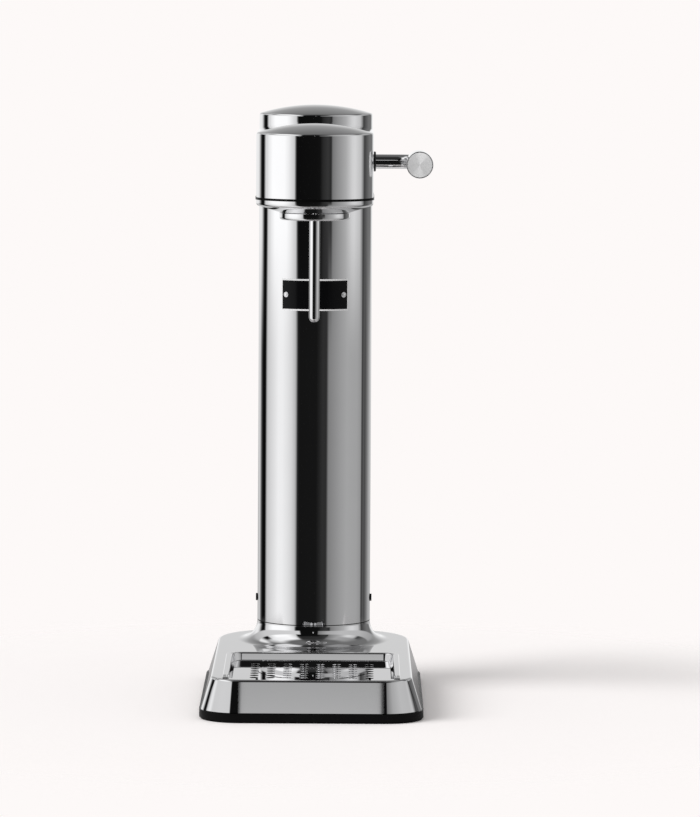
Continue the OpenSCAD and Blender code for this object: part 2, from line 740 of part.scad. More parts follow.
module valve_block() color([0.6, 0.6, 0.62]) difference() {
    union() {
        translate([0, column_y, valve_block_low_z])
            cylinder(h = valve_block_top_z - valve_block_low_z, r = valve_block_r);
        translate([-outlet_w / 2, column_y - valve_block_r - outlet_d / 2, valve_block_low_z])
            cube([outlet_w, outlet_d, outlet_top_z - valve_block_low_z]);
    }
    translate([0, column_y, 0]) cylinder(h = valve_top_z - valve_pin_h + valve_seal_h, r = valve_r + running);
    translate([0, column_y, 0]) cylinder(h = 2 * base_d, r = plunger_r + running);
    translate([0, column_y, valve_block_top_z - spring_well_d]) cylinder(h = cut, r = spring_well_r);
    translate([0, pipe_back_y, pipe_z]) rotate([-90, 0, 0])
        cylinder(h = 2 * pipe_r, r = pipe_r + running, center = true);
    // Gas way from the valve's pin to the outlet
    translate([0, column_y, valve_top_z + pipe_r]) rotate([90, 0, 0])
        cylinder(h = valve_block_r, r = pipe_bore_r);
    translate([0, column_y - valve_block_r, valve_top_z + pipe_r])
        cylinder(h = pipe_z - valve_top_z - pipe_r, r = pipe_bore_r);
    translate([0, pipe_back_y, pipe_z]) rotate([-90, 0, 0])
        cylinder(h = outlet_d / 2, r = pipe_bore_r);
    yoke_screw_places() translate([0, 0, -cut]) cylinder(h = cut, r = plate_screw_r + running);
}

module yoke_screw_places() {
    for (y = [-1, 1], x = [-1, 1])
        translate([x * yoke_screw_x, column_y + y * yoke_screw_y, yoke_low_z + yoke_t]) children();
}

// Bent steel yoke: two ears carry the lever's shaft
module lever_yoke() color([0.55, 0.55, 0.57]) difference() {
    union() {
        translate([-yoke_w / 2, column_y - yoke_l / 2, yoke_low_z]) cube([yoke_w, yoke_l, yoke_t]);
        for (side = [0, 1]) mirror([side, 0, 0])
            translate([yoke_w / 2 - yoke_t, column_y, 0]) {
                translate([0, -yoke_l / 2, yoke_low_z]) cube([yoke_t, yoke_l, lever_z - yoke_low_z]);
                translate([0, 0, lever_z]) rotate([0, 90, 0]) cylinder(h = yoke_t, r = yoke_l / 2);
            }
    }
    translate([-base_w / 2, column_y, lever_z]) rotate([0, 90, 0]) cylinder(h = base_w, r = rod_r + running);
    translate([0, column_y, 0]) cylinder(h = lever_z, r = plunger_head_r + gap);
    yoke_screw_places() translate([0, 0, -cut]) cylinder(h = 2 * cut, r = plate_screw_r + running);
}

module yoke_screws() color([0.35, 0.35, 0.36]) yoke_screw_places()
    screw(plate_screw_r, yoke_t + plate_t + 3 * plate_screw_r, plate_screw_head_r, plate_screw_head_h);

module lever_bush() color([0.7, 0.7, 0.72]) translate([column_r - bush_l, column_y, lever_z])
    rotate([0, 90, 0]) difference() {
        cylinder(h = bush_l, r = bush_r);
        translate([0, 0, -cut]) cylinder(h = base_w, r = rod_r + running);
    }

module lever_ring() color([0.04, 0.04, 0.04]) translate([ring_x, column_y, lever_z])
    rotate([0, 90, 0]) difference() {
        cylinder(h = ring_t, r = ring_r);
        translate([0, 0, -cut]) cylinder(h = base_w, r = rod_r + running);
    }

// Bent rod: shaft through the column, quarter bend, and a front leg into the knob
module lever_arm() color([0.78, 0.78, 0.79]) {
    knob_back_y = column_y - lever_reach + knob_l;
    translate([shaft_end_x, column_y, lever_z]) rotate([0, 90, 0])
        cylinder(h = lever_offset - bend_r - shaft_end_x, r = rod_r);
    translate([lever_offset - bend_r, column_y - bend_r, lever_z])
        rotate_extrude(angle = 90) translate([bend_r, 0]) circle(rod_r);
    translate([lever_offset, knob_back_y - knob_socket, lever_z]) rotate([-90, 0, 0])
        cylinder(h = column_y - bend_r - knob_back_y + knob_socket, r = rod_r);
}

// Round cam set off-centre, so that its underside drops as the lever goes down
module lever_cam() color([0.66, 0.66, 0.68]) difference() {
    translate([-cam_w / 2, column_y - cam_throw, lever_z]) rotate([0, 90, 0]) cylinder(h = cam_w, r = cam_r);
    translate([-base_w / 2, column_y, lever_z]) rotate([0, 90, 0]) cylinder(h = base_w, r = rod_r + running);
    translate([0, column_y, lever_z]) cylinder(h = cut, r = cam_screw_r + running);
}

module cam_screw() color([0.3, 0.3, 0.31]) translate([0, column_y, lever_z + rod_r + running])
    cylinder(h = sqrt(cam_r * cam_r - cam_throw * cam_throw) - rod_r, r = cam_screw_r);

module shaft_clip() color([0.3, 0.3, 0.31])
    translate([-yoke_w / 2 - gap - clip_t, column_y, lever_z]) rotate([0, 90, 0]) difference() {
        cylinder(h = clip_t, r = rod_r + clip_wall);
        translate([0, 0, -cut]) cylinder(h = 2 * cut, r = rod_r + running);
    }

module lever_knob() color([0.8, 0.8, 0.81])
    translate([lever_offset, column_y - lever_reach, lever_z]) rotate([-90, 0, 0]) difference() {
        rotate_extrude() {
            translate([0, knob_edge_r]) square([knob_r, knob_l - 2 * knob_edge_r]);
            square([knob_r - knob_edge_r, knob_l]);
            for (end = [knob_edge_r, knob_l - knob_edge_r])
                translate([knob_r - knob_edge_r, end]) circle(knob_edge_r);
        }
        translate([0, 0, -cut]) cylinder(h = cut + knob_cap_t, r = knob_r - knob_cap_inset);
        translate([0, 0, knob_l - knob_socket]) cylinder(h = knob_l, r = rod_r + running);
    }

module knob_cap() color([0.78, 0.78, 0.79])
    translate([lever_offset, column_y - lever_reach, lever_z]) rotate([-90, 0, 0])
        cylinder(h = knob_cap_t, r = knob_r - knob_cap_inset - running);

// The foot stops just short of the valve's pin at full travel
module valve_plunger() color([0.7, 0.7, 0.72]) translate([0, column_y, 0]) {
    translate([0, 0, plunger_top_z - plunger_head_h]) cylinder(h = plunger_head_h, r = plunger_head_r);
    translate([0, 0, plunger_foot_z])
        cylinder(h = plunger_top_z - plunger_foot_z - plunger_head_h / 2, r = plunger_r);
}

// The spring stands in the block's well and lifts the plunger's head
spring_low_z = valve_block_top_z - spring_well_d;
spring_high_z = plunger_top_z - plunger_head_h;
spring_steps = spring_turns * spring_ring;

// Points round the wire at one step along the spring
function spring_point(step, side) =
    let (turn = 360 * step / spring_ring,
         reach = spring_r + spring_wire_r * cos(360 * side / spring_sides),
         span = spring_high_z - spring_low_z - 2 * spring_wire_r - 2 * running)
    [reach * cos(turn), reach * sin(turn),
     spring_low_z + running + spring_wire_r + span * step / spring_steps
     + spring_wire_r * sin(360 * side / spring_sides)];

module return_spring() color([0.6, 0.6, 0.62]) translate([0, column_y, 0]) polyhedron(
    points = [for (step = [0 : spring_steps], side = [0 : spring_sides - 1]) spring_point(step, side)],
    faces = concat(
        [[for (side = [0 : spring_sides - 1]) side]],
        [[for (side = [spring_sides - 1 : -1 : 0]) spring_steps * spring_sides + side]],
        [for (step = [0 : spring_steps - 1], side = [0 : spring_sides - 1])
            let (a = step * spring_sides + side, b = step * spring_sides + (side + 1) % spring_sides)
            [b, a, a + spring_sides]],
        [for (step = [0 : spring_steps - 1], side = [0 : spring_sides - 1])
            let (a = step * spring_sides + side, b = step * spring_sides + (side + 1) % spring_sides)
            [b, a + spring_sides, b + spring_sides]]));

// Pressed edge of the pan, measured from its outer edge: raised round rim and sloping wall
module rim_section() {
    flat = rim_h - rim_edge_r;
    translate([-rim_w, seat]) square([rim_w, flat - seat]);
    translate([rim_edge_r - rim_w, seat]) square([rim_w - 2 * rim_edge_r, rim_h - seat]);
    intersection() {
        for (x = [rim_edge_r - rim_w, -rim_edge_r])
            translate([x, flat]) circle(rim_edge_r);
        translate([-rim_w, seat]) square([rim_w, rim_h]);
    }
    polygon([[-rim_w, flat], [-rim_w + pan_t, flat], [-rim_w + pan_t, seat],
             [-rim_w + pan_t - pan_slope, -pan_depth - pan_t], [-rim_w - pan_slope, -pan_depth - pan_t]]);
}

module tray_pan() color([0.8, 0.8, 0.81]) on_deck() difference() {
    union() {
        for (side = [0, 1]) mirror([side, 0, 0]) {
            translate([tray_w / 2, tray_back - rim_corner_r, 0]) rotate([90, 0, 0])
                linear_extrude(tray_l - rim_corner_r) rim_section();
            translate([tray_w / 2 - rim_corner_r, tray_back - rim_corner_r, 0])
                rotate_extrude(angle = 90) translate([rim_corner_r, 0]) rim_section();
        }
        translate([rim_corner_r - tray_w / 2, tray_back, 0]) rotate([90, 0, 90])
            linear_extrude(tray_w - 2 * rim_corner_r) rim_section();
        translate([0, 0, -pan_depth - pan_t]) linear_extrude(pan_t)
            pan_plan(rim_w + pan_slope - pan_t / 2);
        translate([rim_w - tray_w / 2, tray_front, -pan_depth - pan_t])
            cube([tray_w - 2 * rim_w, pan_t, pan_depth + pan_t]);
    }
    translate([-tray_w, tray_front - cut, -cut]) cube([2 * tray_w, cut, 2 * cut]);
    drain_holes();
}

module drain_holes() {
    for (column = [0 : drain_columns - 1], row = [0 : drain_rows - 1])
        translate([(column - (drain_columns - 1) / 2) * drain_pitch,
                   tray_back - rim_w - drain_end - row * drain_row_pitch, -cut])
            cylinder(h = cut, r = drain_r);
}

// Steel front of the tray: it wraps the base's front corners and turns in over the pan's front
module tray_fascia() color([0.8, 0.8, 0.81]) difference() {
    intersection() {
        leaning_slab(foot_h + seat, deck_back_h, 0);
        below_deck(0);
        translate([-base_w / 2, -base_d / 2, 0]) cube([base_w, fascia_d - fascia_gap, base_w]);
    }
    intersection() {
        leaning_slab(foot_h - foot_lip, deck_back_h, sheet_t / cos(wall_lean));
        below_deck(sheet_t);
    }
    on_deck() translate([-tray_w / 2 + rim_w / 2, tray_front, -cut])
        cube([tray_w - rim_w, base_d, 2 * cut]);
}

// Plastic basin under the pan catches what drains through it
module drip_basin() color([0.1, 0.1, 0.11]) on_deck() {
    length = tray_l - basin_back - basin_gap;
    width = tray_w - 2 * rim_w - 2 * basin_side;
    translate([-width / 2, tray_front + basin_gap, -pan_depth - pan_t - basin_h]) difference() {
        cube([width, length, basin_h]);
        translate([basin_wall, basin_wall, basin_wall])
            cube([width - 2 * basin_wall, length - 2 * basin_wall, base_w]);
    }
}

rubber_foot();
foot_screws();
base_chassis();
base_shell();
column_spigot();
column_gasket();
column_shell();
side_screws();
label_frame();
label_plate();
label_rivets();
head_shell();
head_gasket();
head_cap();
bottle_collar();
collar_lugs();
bottle_socket();
bottle_seal();
carbonation_tube();
nozzle_tip();
nozzle_block();
relief_valve();
gas_pipe();
pipe_nuts();
head_chassis();
chassis_screws();
valve_block();
cylinder_seal();
gas_cylinder();
cylinder_valve();
lever_yoke();
yoke_screws();
lever_bush();
lever_ring();
lever_arm();
lever_cam();
cam_screw();
shaft_clip();
lever_knob();
knob_cap();
valve_plunger();
return_spring();
tray_pan();
tray_fascia();
drip_basin();
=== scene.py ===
"""Looks of the sparkling water maker: polished steel, black rubber and the studio round it."""

import json
import math

import bmesh
import bpy
from mathutils import Matrix, Vector
from mathutils.geometry import tessellate_polygon


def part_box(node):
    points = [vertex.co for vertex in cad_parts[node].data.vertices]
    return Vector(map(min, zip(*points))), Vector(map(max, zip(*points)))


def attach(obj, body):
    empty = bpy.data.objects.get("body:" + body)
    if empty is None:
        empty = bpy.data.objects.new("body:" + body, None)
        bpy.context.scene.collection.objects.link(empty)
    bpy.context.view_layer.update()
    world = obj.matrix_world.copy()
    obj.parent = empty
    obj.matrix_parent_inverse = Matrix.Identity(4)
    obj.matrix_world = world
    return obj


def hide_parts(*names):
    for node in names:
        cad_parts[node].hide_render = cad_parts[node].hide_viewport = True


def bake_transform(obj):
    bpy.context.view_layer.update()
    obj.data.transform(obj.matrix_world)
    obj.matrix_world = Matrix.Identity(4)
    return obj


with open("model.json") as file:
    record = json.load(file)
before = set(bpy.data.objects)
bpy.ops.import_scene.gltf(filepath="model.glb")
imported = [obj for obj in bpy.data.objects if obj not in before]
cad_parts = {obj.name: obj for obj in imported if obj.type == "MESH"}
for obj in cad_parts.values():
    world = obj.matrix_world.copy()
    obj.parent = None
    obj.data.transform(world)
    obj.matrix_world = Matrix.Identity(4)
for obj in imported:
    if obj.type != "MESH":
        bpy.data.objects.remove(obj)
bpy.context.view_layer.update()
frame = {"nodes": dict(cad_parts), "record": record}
nodes = frame["nodes"]
MM = 0.001


def box(node):
    """Lowest and highest corner of a CAD node, in millimetres."""
    low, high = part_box(node)
    return Vector(low) / MM, Vector(high) / MM


# ---------------------------------------------------------------- sizes, in millimetres

BASE_X, BASE_Y, FOOT_H = box("rubber_foot")[1]
FOOT_LIP = 1
LEAN = math.tan(math.radians(17.5))
FRONT_R, BACK_R = 27, 53
SHEET = 1.5
DECK_EDGE_R, BACK_EDGE_R = 2.2, 0.9
EDGE_TURNS = 9       # faces round the deck's edge
FASCIA_LOW, FASCIA_HIGH = box("tray_fascia")
SHELL_LOW, SHELL_HIGH = box("base_shell")
DECK_FRONT_Z, DECK_BACK_Z = 28.5, 32.1
DECK_FRONT_Y = FOOT_LIP + (DECK_FRONT_Z - FOOT_H) * LEAN - BASE_Y
DECK_BACK_Y = BASE_Y - FOOT_LIP - (DECK_BACK_Z - FOOT_H) * LEAN
DECK_SLOPE = (DECK_BACK_Z - DECK_FRONT_Z) / (DECK_BACK_Y - DECK_FRONT_Y)
FLARE_R, FLARE_TURNS = 14, 20
FLARE_HEIGHT_SHARE = 0.985     # the most that the flare takes of the way up to the column's seam
MARGIN = 1.2         # flat strip next to a rounding, so that the flat stays flat to the eye
BACK_MARGIN_CUT = 0.75         # share of that strip that is left out behind the column
ROOM_LEFT = 0.3      # least gap between the flare's foot and the deck's border

PAN_HIGH = box("tray_pan")[1]
PAN_X = PAN_HIGH.x
PAN_CORNER_R = 11
PAN_FRONT = 8
PAN_BACK = PAN_HIGH.y - DECK_FRONT_Y
RIM_W, RIM_H, RIM_LIFT = 4.2, 1.2, 0.3
RIM_OUTER_R, RIM_INNER_R, RIM_RUN = 0.9, 1.5, 10
PAN_DEPTH, PAN_T, PAN_LEAN = 4.4, 1, 1.8
RUN_SHARES, RIM_END = (0, 0.25, 0.5, 0.75, 1), 0.2     # places along the rim's end, height left at its tip
PAN_FILLET, PAN_STEP = 0.7, 10
PAN_SHEET = PAN_T * 0.9
OPENING_INSET, OPENING_FRONT = 2.5, 4          # the deck's opening under the pan's rim
HIDDEN = 0.1         # how far the pan's front wall and the rivets end inside what holds them
HOLE_R, HOLE_LIP, HOLE_FLAT, HOLE_OVERRUN = 2.95, 0.12, 0.3, 0.2
HOLE_STEPS, LIP_STEP = 7, 18   # steps in a quarter of the hole, degrees in a step of its lip
HOLE_PITCH, HOLE_ROW, HOLE_COUNT, HOLE_END = 11.3, 10, 8, 20

COLUMN_LOW, COLUMN_HIGH = box("column_shell")
COLUMN_R = COLUMN_HIGH.x
COLUMN_Y = COLUMN_LOW.y + COLUMN_R
COLUMN_RIM_Z = 407
COLUMN_WALL = 1.2
DOME_EDGE_R, DOME_STRIP = 1.9, 3
DOME_STEPS, DOME_TURNS = 44, 12

HEAD_LOW, HEAD_HIGH = box("head_shell")
HEAD_R = HEAD_HIGH.x
NOZZLE_Y = HEAD_LOW.y + HEAD_R
HEAD_RIM_Z = 395.9
HEAD_WALL = 1.25
HEAD_SIDE_Y = HEAD_HIGH.y
CLEAR = 0.05
GASKET_H = 1.6
CAP_EDGE_R, CAP_H, CAP_T, CAP_STRIP = 2, 4.4, 2, 1
CAP_STEPS = 48       # of the half circle round the nozzle
BOWL_LIFT = 1.3      # how far the bowl's floor lies over the collar's solid
COLLAR_LOW, COLLAR_HIGH = box("bottle_collar")
COLLAR_R, COLLAR_EDGE_R = COLLAR_HIGH.x, 1.8
COLLAR_LIFT, COLLAR_MOUTH_R, COLLAR_TOP_R = 1.1, 0.4, 0.5
NECK_R = 20.55

KNOB_LOW, KNOB_HIGH = box("lever_knob")
KNOB_R = (KNOB_HIGH.x - KNOB_LOW.x) / 2
KNOB_X, LEVER_Z = (KNOB_HIGH.x + KNOB_LOW.x) / 2, (KNOB_HIGH.z + KNOB_LOW.z) / 2
KNOB_EDGE_R, KNOB_CAP_T, KNOB_CAP_R, KNOB_SOCKET = 0.4, 1.2, 8.7, 12
BORE_EDGE_R = 0.3
FACE_INSET, FACE_BORDER = 0.05, 0.5
RIPPLE_PITCH, RIPPLE_H, RIPPLE_STEPS = 0.8, 0.012, 10
ARM_LOW, ARM_HIGH = box("lever_arm")
ROD_R = (ARM_HIGH.z - ARM_LOW.z) / 2
BEND_R, BEND_STEP, ROD_SIDES = 15, 3, 72
RING_LOW, RING_HIGH = box("lever_ring")
RING_R, RING_EDGE_R = (RING_HIGH.z - RING_LOW.z) / 2, 0.7

SPRING_LOW, SPRING_HIGH = box("return_spring")
SPRING_WIRE_R, SPRING_TURNS, SPRING_STEPS, SPRING_SIDES = 0.55, 5, 28, 12

LABEL_LOW, LABEL_HIGH = box("label_frame")
LABEL_T = 0.52       # how far the label's face stands out from the column
RIVET_R, RIVET_H, RIVET_TURN = 1.9, 0.55, 29.8
RIVET_DOME_R, RIVET_GROOVE_R = RIVET_R * 0.62, RIVET_R * 0.66
RIVET_GROOVE_H = RIVET_H * 0.3


# ---------------------------------------------------------------- outlines

def rounded(corners, step=7.5, closed=False, turns=0):
    """Outline through corners (x, y, radius); a corner with a radius becomes an arc of turns steps."""
    path, last = [], len(corners) - 1
    for n, (x, y, radius) in enumerate(corners):
        here = Vector((x, y))
        if not radius or (n in (0, last) and not closed):
            path.append(here)
            continue
        before = (Vector(corners[n - 1][:2]) - here).normalized()
        after = (Vector(corners[(n + 1) % len(corners)][:2]) - here).normalized()
        half = before.angle(after) / 2
        centre = here + (before + after).normalized() * radius / math.sin(half)
        start = here + before * radius / math.tan(half) - centre
        end = here + after * radius / math.tan(half) - centre
        sweep = math.copysign(math.pi - 2 * half, start.cross(end))
        steps = turns or max(3, math.ceil(math.degrees(abs(sweep)) / step))
        path += [centre + Matrix.Rotation(sweep * k / steps, 2) @ start for k in range(steps + 1)]
    return path


def domed(radius, low_z, rim_z, top_z):
    """Outline of a domed can from its top's middle over the rounded edge to the wall's foot."""
    rise = top_z - rim_z
    dome_r = (radius ** 2 + rise ** 2) / (2 * rise)
    centre_z = top_z - dome_r
    edge_x = radius - DOME_EDGE_R
    edge_z = centre_z + math.sqrt((dome_r - DOME_EDGE_R) ** 2 - edge_x ** 2)
    tangent = math.asin(edge_x / (dome_r - DOME_EDGE_R))
    path = []
    for k in range(DOME_STEPS + 1):
        turn = tangent * k / DOME_STEPS
        path.append(Vector((dome_r * math.sin(turn), centre_z + dome_r * math.cos(turn))))
    for k in range(1, DOME_TURNS + 1):
        turn = tangent + (math.pi / 2 - tangent) * k / DOME_TURNS
        path.append(Vector((edge_x + DOME_EDGE_R * math.sin(turn), edge_z + DOME_EDGE_R * math.cos(turn))))
    return path + [Vector((radius, edge_z - DOME_STRIP)), Vector((radius, low_z))]


# ---------------------------------------------------------------- meshes

def loft(bm, rings, round_ring=True, round_loft=False, ends=False):
    """Faces between successive rings of points in millimetres."""
    rows = [[bm.verts.new(Vector(point) * MM) for point in ring] for ring in rings]
    count = len(rows[0])
    for a, b in zip(rows, rows[1:] + rows[:1] if round_loft else rows[1:]):
        for j in range(count if round_ring else count - 1):
            k = (j + 1) % count
            bm.faces.new((a[j], a[k], b[k], b[j]))
    if ends:
        bm.faces.new(rows[0][::-1])
        bm.faces.new(rows[-1])
    return rows


def lathe(bm, outline, at, axis="Z", steps=160, closed=False):
    """Turns an outline of (radius, height) about an axis through the point at."""
    rings = []
    for n in range(steps):
        turn = 2 * math.pi * n / steps
        c, s = math.cos(turn), math.sin(turn)
        if axis == "Z":
            rings.append([at + Vector((r * c, r * s, h)) for r, h in outline])
        elif axis == "Y":
            rings.append([at + Vector((r * c, h, r * s)) for r, h in outline])
        else:
            rings.append([at + Vector((h, r * c, r * s)) for r, h in outline])
    return loft(bm, rings, round_ring=closed, round_loft=True)


def fill(bm, loops):
    """Flat faces inside the first loop of mesh points and outside the others."""
    points = [vert for loop in loops for vert in loop]
    for corners in tessellate_polygon([[vert.co / MM for vert in loop] for loop in loops]):
        bm.faces.new([points[n] for n in corners])


def make_piece(name, bm, body, finish, replaced=(), crease=32, sheet=None, upward=False):
    """Welds the mesh, marks its creases, gives it its finish and sets it under its body's empty; with no
    single body named it stays fixed where it stands. The CAD parts that it replaces are hidden.
    """
    bmesh.ops.remove_doubles(bm, verts=bm.verts, dist=1e-7)
    bmesh.ops.dissolve_degenerate(bm, edges=bm.edges, dist=1e-8)
    bmesh.ops.recalc_face_normals(bm, faces=bm.faces)
    if upward:
        widest = max(bm.faces, key=lambda face: face.calc_area() * abs(face.normal.z))
        if widest.normal.z < 0:
            bmesh.ops.reverse_faces(bm, faces=bm.faces)
    for face in bm.faces:
        face.smooth = True
    for edge in bm.edges:
        edge.smooth = len(edge.link_faces) == 2 and edge.calc_face_angle(0) < math.radians(crease)
    mesh = bpy.data.meshes.new(name)
    bm.to_mesh(mesh)
    bm.free()
    made = bpy.data.objects.new(name, mesh)
    bpy.context.scene.collection.objects.link(made)
    if sheet:
        wall = made.modifiers.new("sheet", "SOLIDIFY")
        wall.thickness, wall.offset = sheet * MM, -1
        wall.use_even_offset = True
    even = made.modifiers.new("even_shading", "WEIGHTED_NORMAL")
    even.keep_sharp, even.weight = True, 80
    mesh.materials.append(finishes[finish])
    if isinstance(body, str):
        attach(made, body)
    else:
        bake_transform(made)
    if replaced:
        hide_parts(*replaced)
    return made


# ---------------------------------------------------------------- base

def deck_z(y):
    return DECK_FRONT_Z + (y - DECK_FRONT_Y) * DECK_SLOPE


def footprint_stations(steps=22):
    """(corner's centre, outward direction, corner's radius) all round the foot."""
    stations = []
    for x_side, y_side, radius, start in ((1, -1, FRONT_R, -90), (1, 1, BACK_R, 0), (-1, 1, BACK_R, 90),
                                          (-1, -1, FRONT_R, 180)):
        centre = Vector((x_side * (BASE_X - radius), y_side * (BASE_Y - radius)))
        for k in range(steps + 1):
            turn = math.radians(start + 90 * k / steps)
            stations.append((centre, Vector((math.cos(turn), math.sin(turn))), radius))
    return stations


def housing_walls(bm, low_z):
    """Leaning wall and rounded top edge all round; gives back the deck's border."""
    rings = []
    for centre, out, radius in footprint_stations():
        level = out.y * DECK_SLOPE
        inset = (deck_z(centre.y) + level * radius - FOOT_H + FOOT_LIP / LEAN) / (1 / LEAN + level)
        low = radius - FOOT_LIP - (low_z - FOOT_H) * LEAN
        tight = max(out.y, 0) ** 2 if centre.y > 0 else 0    # the column leaves little deck at the back
        edge_r = DECK_EDGE_R - (DECK_EDGE_R - BACK_EDGE_R) * tight
        inner = radius - inset - 2 * edge_r - MARGIN * (1 - BACK_MARGIN_CUT * tight)
        corner = radius - inset
        section = rounded([(low, low_z, 0), (corner, deck_z(centre.y) + level * corner, edge_r),
                           (inner, deck_z(centre.y) + level * inner, 0)], turns=EDGE_TURNS)
        rings.append([(*(centre + out * u), z) for u, z in section])
    rows = loft(bm, rings, round_ring=False, round_loft=True)
    return [row[-1] for row in rows]


def keep_side(bm, y, side):
    """Cuts the mesh at a plane across the machine and keeps its front (-1) or back (1)."""
    bmesh.ops.bisect_plane(bm, geom=bm.verts[:] + bm.edges[:] + bm.faces[:], dist=1e-7,
                           plane_co=(0, y * MM, 0), plane_no=(0, side, 0), clear_inner=True)


def pan_outline(inset, steps=10):
    """Plan of the pan's rim drawn in by inset, from the front left round the back."""
    points = []
    for side, start in ((-1, 180), (1, 90)):
        centre = Vector((side * (PAN_X - PAN_CORNER_R), PAN_BACK - PAN_CORNER_R))
        for k in range(steps + 1):
            turn = math.radians(start - 90 * k / steps)
            points.append(centre + Vector((math.cos(turn), math.sin(turn))) * (PAN_CORNER_R - inset))
    return points


def on_deck(x, y, z):
    """A point of the pan, given along and above the deck."""
    return Vector((x, DECK_FRONT_Y + y - z * DECK_SLOPE, DECK_FRONT_Z + y * DECK_SLOPE + z))


def room_beside_column(border, out):
    """How far the deck runs from the column's axis along a direction."""
    edge = [point.co.xy / MM - Vector((0, COLUMN_Y)) for point in border]
    reaches = []
    for a, b in zip(edge, edge[1:] + edge[:1]):
        side = b - a
        cross = out.x * side.y - out.y * side.x
        if abs(cross) < 1e-9:
            continue
        reach, share = (a.x * side.y - a.y * side.x) / cross, (a.x * out.y - a.y * out.x) / cross
        if reach > 0 and 0 <= share <= 1:
            reaches.append(reach)
    return min(reaches)


def make_base_shell():
    """Housing in one sheet: leaning walls, sloping deck with the tray's opening, flare up to the column."""
    bm = bmesh.new()
    border = housing_walls(bm, SHELL_LOW.z)
    rings, steps = [], 160
    seam_z = SHELL_HIGH.z
    for n in range(steps):
        turn = 2 * math.pi * n / steps
        out = Vector((math.cos(turn), math.sin(turn)))
        level = out.y * DECK_SLOPE
        foot_z = deck_z(COLUMN_Y) + level * COLUMN_R
        room = room_beside_column(border, out) - COLUMN_R
        margin = min(MARGIN, room / 4)
        radius = min(FLARE_R, (seam_z - foot_z) * FLARE_HEIGHT_SHARE, room - margin - ROOM_LEFT)
        edge = COLUMN_R + radius + margin
        section = rounded([(COLUMN_R, seam_z, 0), (COLUMN_R, foot_z, radius),
                           (edge, deck_z(COLUMN_Y) + level * edge, 0)], turns=FLARE_TURNS)
        rings.append([(out.x * u, COLUMN_Y + out.y * u, z) for u, z in section])
    rows = loft(bm, rings, round_ring=False, round_loft=True)
    flare_foot = [row[-1] for row in rows]
    opening = [Vector((OPENING_INSET - PAN_X, OPENING_FRONT)), *pan_outline(OPENING_INSET),
               Vector((PAN_X - OPENING_INSET, OPENING_FRONT))]
    pan_hole = [bm.verts.new(on_deck(x, y, 0) * MM) for x, y in opening]
    fill(bm, [border, flare_foot, pan_hole])
    keep_side(bm, SHELL_LOW.y, 1)
    make_piece("housing", bm, "machine", "polished_steel", ["base_shell"], sheet=SHEET, upward=True)


def make_tray_front():
    """The tray's front, which continues the housing round the front corners."""
    bm = bmesh.new()
    border = housing_walls(bm, FASCIA_LOW.z)
    fill(bm, [border])
    keep_side(bm, FASCIA_HIGH.y, -1)
    make_piece("tray_front", bm, "tray", "polished_steel", ["tray_fascia"], sheet=SHEET, upward=True)


